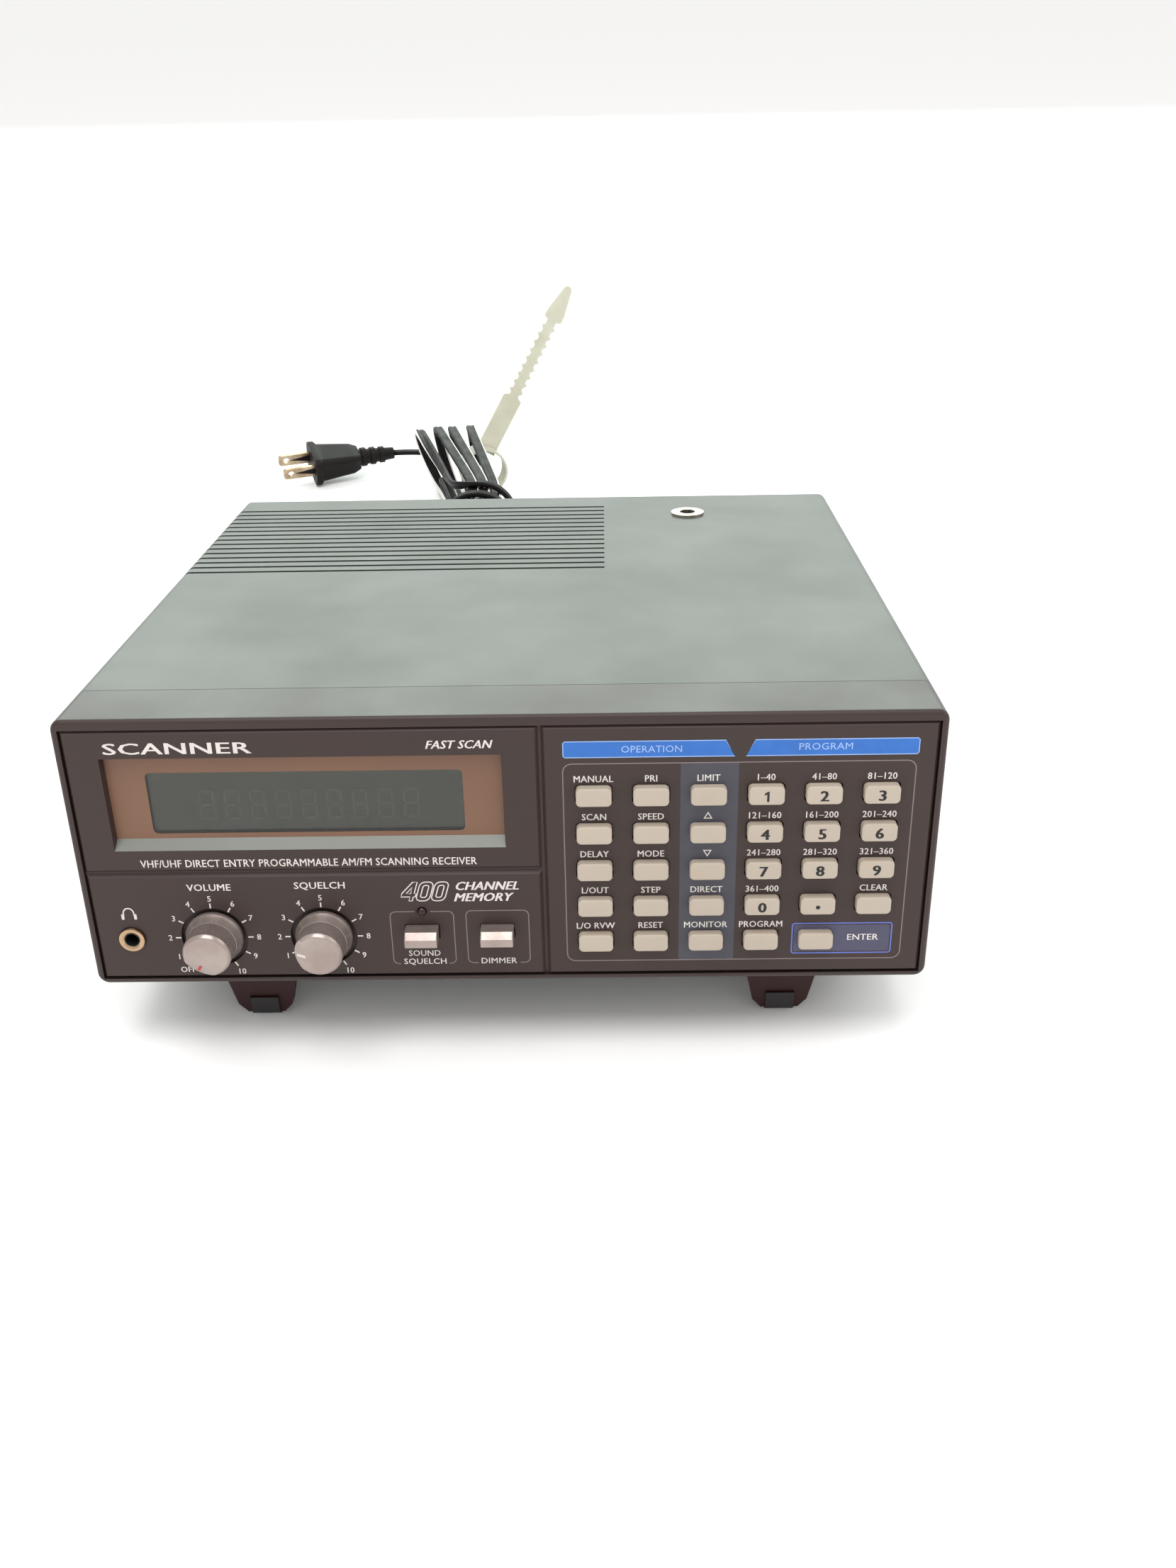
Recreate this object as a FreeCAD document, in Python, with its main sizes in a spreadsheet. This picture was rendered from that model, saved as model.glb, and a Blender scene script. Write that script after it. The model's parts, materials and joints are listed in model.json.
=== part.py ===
import FreeCAD, Part
import math
import os
import re

import Sketcher
from FreeCAD import Placement, Rotation, Vector

# Desktop scanning receiver with its mains cord.
#
# Every piece of the receiver is built in the case's own frame: x to the right, y into the case
# from the plane of the front panel, z up from the case's underside.  seat() then tips the case
# back on its front legs and stands it on the table, whose top is z = 0.  The cord, its hank, its
# plug and the tie lie on the table behind the case and are built where they lie.

# ---------------------------------------------------------------- driving dimensions

SIZES = dict(
    case_width=217.0, case_depth=209.0, case_height=75.3, wall=2.5, case_round=3.0,
    bezel_depth=19.5, seam_gap=0.2, rim_side=1.8, rim_top=2.7, rim_bottom=1.6, rim_round=1.2,
    split_height=37.5, rear_inset=2.5, rear_thick=1.5,
    panel_thick=2.5, groove_wide=0.7, groove_deep=0.9, bevel=0.8,
    field_split_x=9.85, field_split_z=33.0,
    window_left=-97.5, window_right=0.3, window_low=42.0, window_top=64.9, jamb_slope=0.3,
    sill_slope=2.4,
    lens_thick=1.4, glass_left=-91.0, glass_right=-6.5, glass_low=41.2, glass_top=62.2,
    key_width=8.8, key_tall=4.9, key_round=1.2, key_edge=0.45, key_proud=2.2, key_gap=0.3,
    key_first_x=22.8, key_pitch_x=14.1, key_low_z=12.25, key_pitch_z=10.43,
    flange_width=11.0, flange_tall=7.6, flange_thick=1.0, stem_radius=1.6, stem_long=2.7,
    switch_side=6.0, switch_front=5.5, board_front=9.0, board_thick=1.6,
    left_board_front=14.0,
    button_width=8.4, button_tall=3.7, button_proud=5.2, button_slope=1.5,
    button_z=15.3, sound_button_x=-21.9, dimmer_button_x=-2.5,
    volume_x=-75.9, squelch_x=-47.5, knob_z=14.1, knob_long=9.5, skirt_radius=7.4,
    body_radius=6.35, cap_radius=6.15, face_radius=5.45, recess_radius=8.6, recess_deep=1.5,
    shaft_radius=3.0, running_gap=0.05, facet_chord=3.0, facet_drop=1.8,
    socket_x=-97.3, socket_z=13.9, socket_ring=3.4, socket_bore=1.8,
    lamp_x=-21.7, lamp_z=21.3, lamp_radius=1.2,
    left_leg_x=-69.7, right_leg_x=73.1,
    leg_pivot_y=16.0, leg_pivot_z=-2.6, leg_tip_y=17.6, leg_tip_z=-18.52,
    leg_tip_radius=2.6,
    leg_thick=3.6, leg_top_width=22.6, leg_low_width=15.0, leg_pin_radius=1.3, leg_barrel=2.3,
    foot_x=82.0, foot_y=188.0, foot_radius=6.0, foot_tall=5.0,
    slot_first_y=119.2, slot_pitch=5.35, slot_wide=1.6, slot_right=26.0, slot_count=15,
    antenna_x=55.7, antenna_y=183.5, antenna_ring=5.85, antenna_bore=2.65,
    exit_x=-84.0, exit_z=16.0, boot_long=19.34, cord_wide=5.2,
    table_shift=109.0,
)

doc = FreeCAD.newDocument("scanner")
sheet = doc.addObject("Spreadsheet::Sheet", "dims")
for row, (alias, number) in enumerate(SIZES.items(), start=1):
    sheet.set(f"A{row}", alias)
    sheet.set(f"B{row}", str(number))
    sheet.setAlias(f"B{row}", alias)
doc.recompute()


class Read:
    """Sizes read back from the sheet, for shapes that Part's own functions make."""

    def __getattr__(self, alias):
        return float(sheet.get(alias))


D = Read()
NODES = []


def linked(formula):
    """A formula with the sheet's name put before each alias in it."""
    return re.sub(r"[a-z_]+", lambda word: "dims." + word.group(), str(formula))


def bind(piece, **formulas):
    """Bind properties of one object to formulas of the sheet's aliases."""
    for prop, formula in formulas.items():
        piece.setExpression(prop.replace("__", "."), linked(formula))
    return piece


# ---------------------------------------------------------------- where the case stands

def seat():
    """The placement that tips the case back and stands it on the table, centred on y = 0.

    The table touches the lower back edge of the rear feet and the round tips of the legs, so it
    is the tangent from that edge to the tip's circle: the slope of the line to the circle's
    centre plus asin(radius / distance).
    """
    heel = Vector(0, D.foot_y + D.foot_radius, -D.foot_tall)
    run = heel.y - D.leg_tip_y
    rise = heel.z - D.leg_tip_z
    lean = math.atan2(rise, run) + math.asin(D.leg_tip_radius / math.hypot(run, rise))
    turn = Rotation(Vector(1, 0, 0), -math.degrees(lean))
    print(f"case tipped back by {math.degrees(lean):.3f} deg")
    return Placement(Vector(0, -D.table_shift, -turn.multVec(heel).z), turn)


SEAT = seat()


def node(label, piece, at=Vector(0, 0, 0), seated=True):
    """Register one sub-part: its label is its file's name."""
    place = Placement(at, Rotation())
    piece.Placement = SEAT.multiply(place) if seated else place
    piece.Label = label
    NODES.append(piece)
    return piece


# ---------------------------------------------------------------- small builders

ALONG_Y = Rotation(Vector(1, 0, 0), -90)
ALONG_X = Rotation(Vector(0, 1, 0), 90)
ALONG_Z = Rotation()


def box(name, length, width, height, x, y, z):
    """A block from its low corner (x, y, z); every argument is a number or a formula."""
    block = doc.addObject("Part::Box", name)
    return bind(block, Length=length, Width=width, Height=height,
                Placement__Base__x=x, Placement__Base__y=y, Placement__Base__z=z)


def slab(name, low_x, high_x, low_y, high_y, low_z, high_z):
    """A block given by its two corners."""
    return box(name, f"({high_x}) - ({low_x})", f"({high_y}) - ({low_y})",
               f"({high_z}) - ({low_z})", low_x, low_y, low_z)


def rod(name, radius, length, x, y, z, turn=ALONG_Y):
    """A cylinder from the centre of its first end."""
    piece = doc.addObject("Part::Cylinder", name)
    piece.Placement = Placement(Vector(0, 0, 0), turn)
    return bind(piece, Radius=radius, Height=length,
                Placement__Base__x=x, Placement__Base__y=y, Placement__Base__z=z)


def cone(name, radius, end_radius, length, x, y, z, turn=ALONG_Y):
    """A cone frustum from the centre of its first end."""
    piece = doc.addObject("Part::Cone", name)
    piece.Placement = Placement(Vector(0, 0, 0), turn)
    return bind(piece, Radius1=radius, Radius2=end_radius, Height=length,
                Placement__Base__x=x, Placement__Base__y=y, Placement__Base__z=z)


def fuse(name, pieces):
    """One solid from several that touch."""
    joined = doc.addObject("Part::MultiFuse", name)
    joined.Shapes = pieces
    return joined


def group(name, pieces):
    """Several solids kept apart in one sub-part."""
    together = doc.addObject("Part::Compound", name)
    together.Links = pieces
    return together


def cut(name, base, tools):
    """A solid with several others taken out of it."""
    result = doc.addObject("Part::Cut", name)
    result.Base = base
    result.Tool = tools[0] if len(tools) == 1 else fuse(name + "_tools", tools)
    return result


def is_along(edge, axis):
    """True for a straight edge parallel to the axis."""
    if edge.Curve.TypeId != "Part::GeomLine":
        return False
    return abs(edge.tangentAt(edge.FirstParameter).dot(axis)) > 0.999


def rounded(name, base, chosen):
    """Round edges of a solid; chosen(edge) gives an edge's radius, or 0 to leave it sharp."""
    doc.recompute()
    edges = []
    for index, edge in enumerate(base.Shape.Edges, start=1):
        radius = chosen(edge)
        if radius > 0:
            edges.append((index, radius, radius))
    result = doc.addObject("Part::Fillet", name)
    result.Base = base
    result.Edges = edges
    return result


X_AXIS = Vector(1, 0, 0)
Y_AXIS = Vector(0, 1, 0)


# ---------------------------------------------------------------- sketched bodies

def new_body(name):
    return doc.addObject("PartDesign::Body", name)


def sketch_on(body, role, name, offset=0):
    """An empty sketch on one of the body's own planes, moved along the plane's normal."""
    plane = next(item for item in body.Origin.OriginFeatures if item.Role == role)
    sketch = body.newObject("Sketcher::SketchObject", name)
    sketch.AttachmentSupport = [(plane, "")]
    sketch.MapMode = "FlatFace"
    if offset != 0:
        sketch.setExpression("AttachmentOffset.Base.z", linked(offset))
    return sketch


def draw_rectangle(sketch, width, height):
    """A rectangle centred on the sketch's origin, with its two sizes bound to the sheet."""
    corners = [Vector(-1, -1, 0), Vector(1, -1, 0), Vector(1, 1, 0), Vector(-1, 1, 0)]
    for first, second in zip(corners, corners[1:] + corners[:1]):
        sketch.addGeometry(Part.LineSegment(first, second), False)
    for side in range(4):
        sketch.addConstraint(Sketcher.Constraint("Coincident", side, 2, (side + 1) % 4, 1))
    for side in (0, 2):
        sketch.addConstraint(Sketcher.Constraint("Horizontal", side))
        sketch.addConstraint(Sketcher.Constraint("Vertical", side + 1))
    sketch.addConstraint(Sketcher.Constraint("Symmetric", 0, 1, 2, 1, -1, 1))
    wide = sketch.addConstraint(Sketcher.Constraint("DistanceX", 0, 1, 0, 2, 2.0))
    tall = sketch.addConstraint(Sketcher.Constraint("DistanceY", 1, 1, 1, 2, 2.0))
    sketch.renameConstraint(wide, "wide")
    sketch.renameConstraint(tall, "tall")
    sketch.setExpression("Constraints.wide", linked(width))
    sketch.setExpression("Constraints.tall", linked(height))
    return sketch


def draw_circle(sketch, radius):
    """A circle on the sketch's origin with its radius bound to the sheet."""
    sketch.addGeometry(Part.Circle(Vector(0, 0, 0), Vector(0, 0, 1), 1.0), False)
    sketch.addConstraint(Sketcher.Constraint("Coincident", 0, 3, -1, 1))
    size = sketch.addConstraint(Sketcher.Constraint("Radius", 0, 1.0))
    sketch.renameConstraint(size, "radius")
    sketch.setExpression("Constraints.radius", linked(radius))
    return sketch


def draw_outline(sketch, points):
    """A closed outline of straight lines through the points, each fixed where it is."""
    for first, second in zip(points, points[1:] + points[:1]):
        sketch.addGeometry(Part.LineSegment(Vector(*first, 0), Vector(*second, 0)), False)
    count = len(points)
    for side in range(count):
        sketch.addConstraint(Sketcher.Constraint("Coincident", side, 2, (side + 1) % count, 1))
    for side in range(count):
        sketch.addConstraint(Sketcher.Constraint("Block", side))
    return sketch


def pad(body, sketch, length, backwards=False, both=False):
    """A pad; on the XZ plane it grows to the front unless it is backwards."""
    feature = body.newObject("PartDesign::Pad", sketch.Name + "_pad")
    feature.Profile = sketch
    feature.Reversed = backwards
    feature.Midplane = both
    return bind(feature, Length=length)


def dress(body, kind, base, size, prop, chosen):
    """A fillet or chamfer on the edges of a feature that chosen(edge) picks."""
    doc.recompute()
    names = [f"Edge{index}" for index, edge in enumerate(base.Shape.Edges, start=1) if chosen(edge)]
    feature = body.newObject(f"PartDesign::{kind}", base.Name + "_" + kind.lower())
    feature.Base = (base, names)
    return bind(feature, **{prop: size})


# ---------------------------------------------------------------- keys and buttons

KEY_GRID = [
    ["manual", "scan", "delay", "lockout", "lockout_review"],
    ["priority", "speed", "mode", "step", "reset"],
    ["limit", "up", "down", "direct", "monitor"],
    ["1", "4", "7", "0", "program"],
    ["2", "5", "8", "point", "enter"],
    ["3", "6", "9", "clear"],
]


def key_places():
    """Each key's name and the centre of its face, column by column from the left, top first."""
    for column, names in enumerate(KEY_GRID):
        for line, name in enumerate(names):
            x = D.key_first_x + column * D.key_pitch_x
            z = D.key_low_z + (4 - line) * D.key_pitch_z
            yield name, x, z


def key_cap(label, x, z):
    """A key: a rounded cap through the panel, a flange behind it and a stem on the switch."""
    body = new_body("key_" + label)
    back = "panel_thick + 0.1"
    face = draw_rectangle(sketch_on(body, "XZ_Plane", label + "_face", f"-({back})"),
                          "key_width", "key_tall")
    cap = pad(body, face, f"key_proud + {back}")
    corners = dress(body, "Fillet", cap, "key_round", "Radius",
                    lambda edge: is_along(edge, Y_AXIS))
    front = -D.key_proud
    dress(body, "Fillet", corners, "key_edge", "Radius",
          lambda edge: abs(edge.BoundBox.YMin - front) < 1e-6 and edge.BoundBox.YLength < 1e-6)
    flange = draw_rectangle(sketch_on(body, "XZ_Plane", label + "_flange", f"-({back})"),
                            "flange_width", "flange_tall")
    pad(body, flange, "flange_thick", backwards=True)
    stem = draw_circle(sketch_on(body, "XZ_Plane", label + "_stem",
                                 f"-({back} + flange_thick)"), "stem_radius")
    pad(body, stem, "stem_long", backwards=True)
    return node("key_" + label, body, Vector(x, 0, z))


def push_button(label, x):
    """A wide button with a sloped upper front edge, a flange and a square plunger."""
    body = new_body(label)
    back = "panel_thick + 0.1"
    face = draw_rectangle(sketch_on(body, "XZ_Plane", label + "_face", f"-({back})"),
                          "button_width", "button_tall")
    cap = pad(body, face, f"button_proud + {back}")
    front = -D.button_proud
    high = D.button_tall / 2
    slope = dress(body, "Chamfer", cap, "button_slope", "Size",
                  lambda edge: is_along(edge, X_AXIS) and abs(edge.BoundBox.YMin - front) < 1e-6
                  and edge.BoundBox.ZMin > high - 1e-6)
    side = D.button_width / 2
    dress(body, "Fillet", slope, 0.35, "Radius",
          lambda edge: abs(abs(edge.BoundBox.XMin) - side) < 1e-6
          and edge.BoundBox.XLength < 1e-6 and edge.BoundBox.YMax < D.panel_thick)
    flange = draw_rectangle(sketch_on(body, "XZ_Plane", label + "_flange", f"-({back})"),
                            "button_width + 1.6", "button_tall + 1.6")
    pad(body, flange, "flange_thick", backwards=True)
    plunger = draw_rectangle(sketch_on(body, "XZ_Plane", label + "_plunger",
                                       f"-({back} + flange_thick)"), 3.0, 2.4)
    pad(body, plunger, 4.4, backwards=True)
    return node(label, body, Vector(x, 0, D.button_z))


# ---------------------------------------------------------------- knobs

def knob(label, x, pointer):
    """A turned knob with a flared skirt and a facet on its face towards the pointer's angle.

    The outline (radius, height) is turned about the y axis.  The facet is cut by a block whose
    face runs from a chord of the front face down to facet_drop at the rim.
    """
    body = new_body(label + "_turned")
    outline = [(D.shaft_radius, -0.6), (D.skirt_radius, -0.6), (D.skirt_radius, 0.6),
               (D.body_radius, 2.0), (D.cap_radius, D.knob_long - 1.0),
               (D.face_radius, D.knob_long), (0.0, D.knob_long), (0.0, 3.5), (D.shaft_radius, 3.5)]
    sketch = sketch_on(body, "YZ_Plane", label + "_outline")
    draw_outline(sketch, [(-height, radius) for radius, height in outline])
    turned = body.newObject("PartDesign::Revolution", label + "_revolve")
    turned.Profile = sketch
    turned.ReferenceAxis = (sketch, ["H_Axis"])
    turned.Angle = 360.0
    reach = 2 * D.skirt_radius
    fall = math.atan2(D.facet_drop, D.cap_radius - D.facet_chord)
    block = doc.addObject("Part::Box", label + "_facet")
    bind(block, Length=f"{reach}", Width=f"{reach}", Height=f"{reach}")
    # the block's top face is turned to the facet: first about its own hinge, then to the pointer
    hinge = Placement(Vector(-reach / 2, 0, D.facet_chord), Rotation())
    tip_over = Placement(Vector(0, -D.knob_long, 0), Rotation())
    lean = Placement(Vector(0, 0, 0), Rotation(X_AXIS, math.degrees(fall)))
    drop = Placement(Vector(0, -reach, 0), Rotation())
    spin = Placement(Vector(0, 0, 0), Rotation(Y_AXIS, pointer))
    block.Placement = spin.multiply(tip_over).multiply(hinge).multiply(lean).multiply(drop)
    shaped = cut(label + "_shaped", body, [block])
    shaft = rod(label + "_shaft", "shaft_radius", 13.5, 0, -3.5, 0)
    return node(label, group(label + "_group", [shaped, shaft]), Vector(x, 0, D.knob_z))


# ---------------------------------------------------------------- front panel and bezel

def bevelled_field(name, low_x, high_x, low_z, high_z):
    """A raised field: a frustum whose front face is smaller by the bevel on every side."""
    field = doc.addObject("Part::Wedge", name)
    return bind(field, Ymin=0, Ymax="groove_deep + 0.001",
                Xmin=f"{low_x} + bevel", Xmax=f"{high_x} - bevel",
                Zmin=f"{low_z} + bevel", Zmax=f"{high_z} - bevel",
                X2min=low_x, X2max=high_x, Z2min=low_z, Z2max=high_z)


def front_panel():
    """The moulded panel: three raised fields, display opening, key, button and shaft holes."""
    half = "case_width / 2 - rim_side - 0.2"
    low, high = "rim_bottom + 0.2", "case_height - rim_top - 0.2"
    back = slab("panel_back", f"-({half})", half, "groove_deep", "panel_thick", low, high)
    gap = "groove_wide / 2"
    fields = [
        bevelled_field("field_display", f"-({half})", f"field_split_x - {gap}",
                       f"field_split_z + {gap}", high),
        bevelled_field("field_controls", f"-({half})", f"field_split_x - {gap}",
                       low, f"field_split_z - {gap}"),
        bevelled_field("field_keys", f"field_split_x + {gap}", half, low, high)]
    solid = fuse("panel_solid", [back] + fields)

    window = doc.addObject("Part::Wedge", "display_opening")
    bind(window, Ymin=-0.001, Ymax="panel_thick + 0.001",
         Xmin="window_left - jamb_slope", Xmax="window_right + jamb_slope",
         Zmin="window_low - sill_slope", Zmax="window_top + 0.15",
         X2min="window_left", X2max="window_right", Z2min="window_low", Z2max="window_top")
    holes = [window]
    for name, x, z in key_places():
        hole = box("hole_" + name, "key_width + 2 * key_gap", "panel_thick + 2",
                   "key_tall + 2 * key_gap", f"{x} - key_width / 2 - key_gap", -1,
                   f"{z} - key_tall / 2 - key_gap")
        holes.append(rounded("hole_round_" + name, hole,
                             lambda edge: D.key_round if is_along(edge, Y_AXIS) else 0))
    for name, x in (("sound", "sound_button_x"), ("dimmer", "dimmer_button_x")):
        holes.append(box("hole_" + name, "button_width + 2 * key_gap", "panel_thick + 2",
                         "button_tall + 2 * key_gap", f"{x} - button_width / 2 - key_gap", -1,
                         "button_z - button_tall / 2 - key_gap"))
    for name, x in (("volume", "volume_x"), ("squelch", "squelch_x")):
        holes.append(rod("recess_" + name, "recess_radius", "recess_deep + 1", x, -1, "knob_z"))
        holes.append(rod("hole_" + name, "shaft_radius + 0.6", 6, x, -1, "knob_z"))
    holes.append(rod("hole_socket", "socket_ring + 0.1", 6, "socket_x", -1, "socket_z"))
    holes.append(rod("hole_lamp", "lamp_radius + 0.1", 6, "lamp_x", -1, "lamp_z"))
    return node("front_panel", cut("panel_cut", solid, holes))


def front_bezel():
    """The deep frame round the panel, rounded at its corners and along its front edge."""
    outer = box("bezel_block", "case_width", "bezel_depth", "case_height", "-case_width / 2", 0, 0)

    def edge_radius(edge):
        if is_along(edge, Y_AXIS):
            return D.case_round
        return D.rim_round if edge.BoundBox.YMax < 1e-6 else 0

    shell = rounded("bezel_rounded", outer, edge_radius)
    lugs, bores = leg_lugs()
    opening = slab("bezel_opening", "-case_width / 2 + rim_side", "case_width / 2 - rim_side",
                   -1, "bezel_depth + 1", "rim_bottom", "case_height - rim_top")
    return node("front_bezel", cut("bezel_cut", fuse("bezel_lugged", [shell] + lugs),
                                   [opening] + bores))


def leg_lugs():
    """The pair of lugs under the bezel that carry each leg's pins, and the bores for the pins."""
    lugs, bores = [], []
    for side, middle in (("left", D.left_leg_x), ("right", D.right_leg_x)):
        for hand in (-1, 1):
            name = f"lug_{side}_{hand + 1}"
            x = middle + hand * (D.leg_top_width / 2 + 1.5)
            lugs.append(box(name, 2.4, 6.4, 5.7, x - 1.2, "leg_pivot_y - 3.2", -4.9))
            bores.append(rod(name + "_bore", "leg_pin_radius + running_gap", 6, x - 3,
                             "leg_pivot_y", "leg_pivot_z", ALONG_X))
    return lugs, bores


# ---------------------------------------------------------------- the two case shells

def shell_half(name, low_z, high_z, edge_z):
    """A block behind the bezel with the two long edges at height edge_z rounded."""
    start = "bezel_depth + seam_gap"
    block = slab(name + "_block", "-case_width / 2", "case_width / 2", start, "case_depth",
                 low_z, high_z)

    def edge_radius(edge):
        level = abs(edge.BoundBox.ZMin - edge_z) < 1e-6 and edge.BoundBox.ZLength < 1e-6
        return D.case_round if level and is_along(edge, Y_AXIS) else 0

    return rounded(name + "_rounded", block, edge_radius)


def top_cover():
    """The upper shell with its row of cooling slots, stiffening ribs and antenna hole."""
    block = shell_half("cover", "split_height", "case_height", D.case_height)
    roof = "case_height - wall"
    hollow = slab("cover_hollow", "-case_width / 2 + wall", "case_width / 2 - wall",
                  0, "case_depth + 1", 0, roof)
    shell = cut("cover_shell", block, [hollow])
    ribs = [slab(f"cover_rib_{index}", x, x + 2.0, "slot_first_y - 4",
                 "slot_first_y + slot_pitch * slot_count", f"{roof} - 3", f"{roof} + 0.2")
            for index, x in enumerate((-88.0, -52.0, -16.0))]
    ribbed = fuse("cover_ribbed", [shell] + ribs)
    slots = []
    for index in range(int(D.slot_count)):
        y = f"slot_first_y + {index} * slot_pitch"
        slots.append(slab(f"slot_{index}", "-case_width / 2 - 1", "slot_right",
                          y, f"{y} + slot_wide", roof, "case_height + 1"))
        slots.append(slab(f"slot_side_{index}", "-case_width / 2 - 1",
                          "-case_width / 2 + wall", y, f"{y} + slot_wide",
                          "case_height - 7", "case_height + 1"))
    slots.append(rod("antenna_hole", "antenna_ring - 1.25", 12, "antenna_x", "antenna_y",
                     "case_height - 8", ALONG_Z))
    return node("top_cover", cut("cover_cut", ribbed, slots))


SCREW_PLACES = [(-98.0, 34.0), (98.0, 34.0), (-98.0, 140.0), (98.0, 140.0)]


def bottom_case():
    """The lower shell with its screw posts and a vent grille underneath."""
    block = shell_half("base", 0, "split_height - seam_gap", 0)
    hollow = slab("base_hollow", "-case_width / 2 + wall", "case_width / 2 - wall",
                  0, "case_depth + 1", "wall", "split_height + 1")
    tray = cut("base_tray", block, [hollow])
    posts = [rod(f"post_{index}", 4.0, "split_height - wall", x, y, "wall - 0.2", ALONG_Z)
             for index, (x, y) in enumerate(SCREW_PLACES)]
    solid = fuse("base_solid", [tray] + posts)
    holes = []
    for index, (x, y) in enumerate(SCREW_PLACES):
        holes.append(rod(f"screw_hole_{index}", 1.65, 60, x, y, -10, ALONG_Z))
        holes.append(rod(f"screw_seat_{index}", 3.3, 12, x, y, -9.4, ALONG_Z))
    for index in range(9):
        holes.append(slab(f"floor_slot_{index}", -40, 40, 96 + 7 * index, 98 + 7 * index, -1, 5))
    return node("bottom_case", cut("base_cut", solid, holes))


def rear_panel():
    """The flat metal back, drilled for the sockets and the cord."""
    half = "case_width / 2 - wall - 0.2"
    front = "case_depth - rear_inset - rear_thick"
    plate = slab("rear_plate", f"-({half})", half, front, "case_depth - rear_inset",
                 "wall + 0.2", "case_height - wall - 0.2")
    holes = [rod("rear_bnc_hole", 4.9, 6, BNC_X, f"{front} - 1", SOCKET_ROW_Z),
             rod("rear_cord_hole", 5.1, 6, "exit_x", f"{front} - 1", "exit_z")]
    for name, x in REAR_JACKS:
        holes.append(rod(f"rear_{name}_hole", 3.1, 6, x, f"{front} - 1", SOCKET_ROW_Z))
    return node("rear_panel", cut("rear_cut", plate, holes))


# ---------------------------------------------------------------- sockets, lamp, display

BNC_X = 84.0
SOCKET_ROW_Z = 24.0
REAR_JACKS = [("power_jack", 58.0), ("speaker_jack", 38.0), ("tape_jack", 18.0)]


def headphone_socket():
    """A panel socket: plated bush through the panel and a moulded body on the board."""
    ring = rod("socket_bush", "socket_ring", 3.4, "socket_x", -0.6, "socket_z")
    block = slab("socket_block", "socket_x - 4.6", "socket_x + 4.6", "panel_thick + 0.1",
                 "left_board_front", "socket_z - 4.6", "socket_z + 4.6")
    bore = rod("socket_hole", "socket_bore", 13.0, "socket_x", -1, "socket_z")
    return node("headphone_socket", cut("socket_cut", fuse("socket_solid", [ring, block]), [bore]))


def signal_led():
    """A small domed lamp in the panel, on two leads from the board."""
    lens = rod("lamp_lens", "lamp_radius", 4.0, "lamp_x", 0.1, "lamp_z")
    dome = doc.addObject("Part::Sphere", "lamp_dome")
    bind(dome, Radius="lamp_radius", Placement__Base__x="lamp_x", Placement__Base__y=0.1,
         Placement__Base__z="lamp_z")
    collar = rod("lamp_collar", "lamp_radius + 0.4", 1.2, "lamp_x", "panel_thick + 0.1", "lamp_z")
    leads = [rod(f"lamp_lead_{index}", 0.3, 10.0, f"lamp_x + {shift}", 4.0, "lamp_z")
             for index, shift in enumerate((-0.6, 0.6))]
    return node("signal_led", fuse("lamp_solid", [lens, dome, collar] + leads))


def display_lens():
    """The clear window plate behind the display opening."""
    plate = slab("lens_plate", "window_left - 2", "window_right + 2", "panel_thick",
                 "panel_thick + lens_thick", "window_low - 2", "window_top + 2")
    return node("display_lens", group("lens_group", [plate]))


def lcd_module():
    """The display glass in its frame, with a backlight box and its own small board."""
    front = "panel_thick + lens_thick + 0.1"
    frame_block = slab("lcd_frame", "glass_left - 2", "glass_right + 2", front,
                       f"{front} + 2.6", "glass_low - 1", "glass_top + 1")
    opening = slab("lcd_opening", "glass_left + 2", "glass_right - 2", f"{front} - 1",
                   f"{front} + 3", "glass_low + 2", "glass_top - 2")
    frame = cut("lcd_frame_cut", frame_block, [opening])
    glass = slab("lcd_glass", "glass_left + 2", "glass_right - 2", f"{front} + 0.4",
                 f"{front} + 2.4", "glass_low + 2", "glass_top - 2")
    light = slab("lcd_light", "glass_left - 1", "glass_right + 1", f"{front} + 2.6",
                 f"{front} + 6.4", "glass_low", "glass_top")
    board = slab("lcd_board", "glass_left - 3", "glass_right + 3", f"{front} + 6.4",
                 f"{front} + 8.0", "glass_low - 2", "glass_top + 2")
    return node("lcd_module", group("lcd_group", [frame, glass, light, board]))


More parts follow.
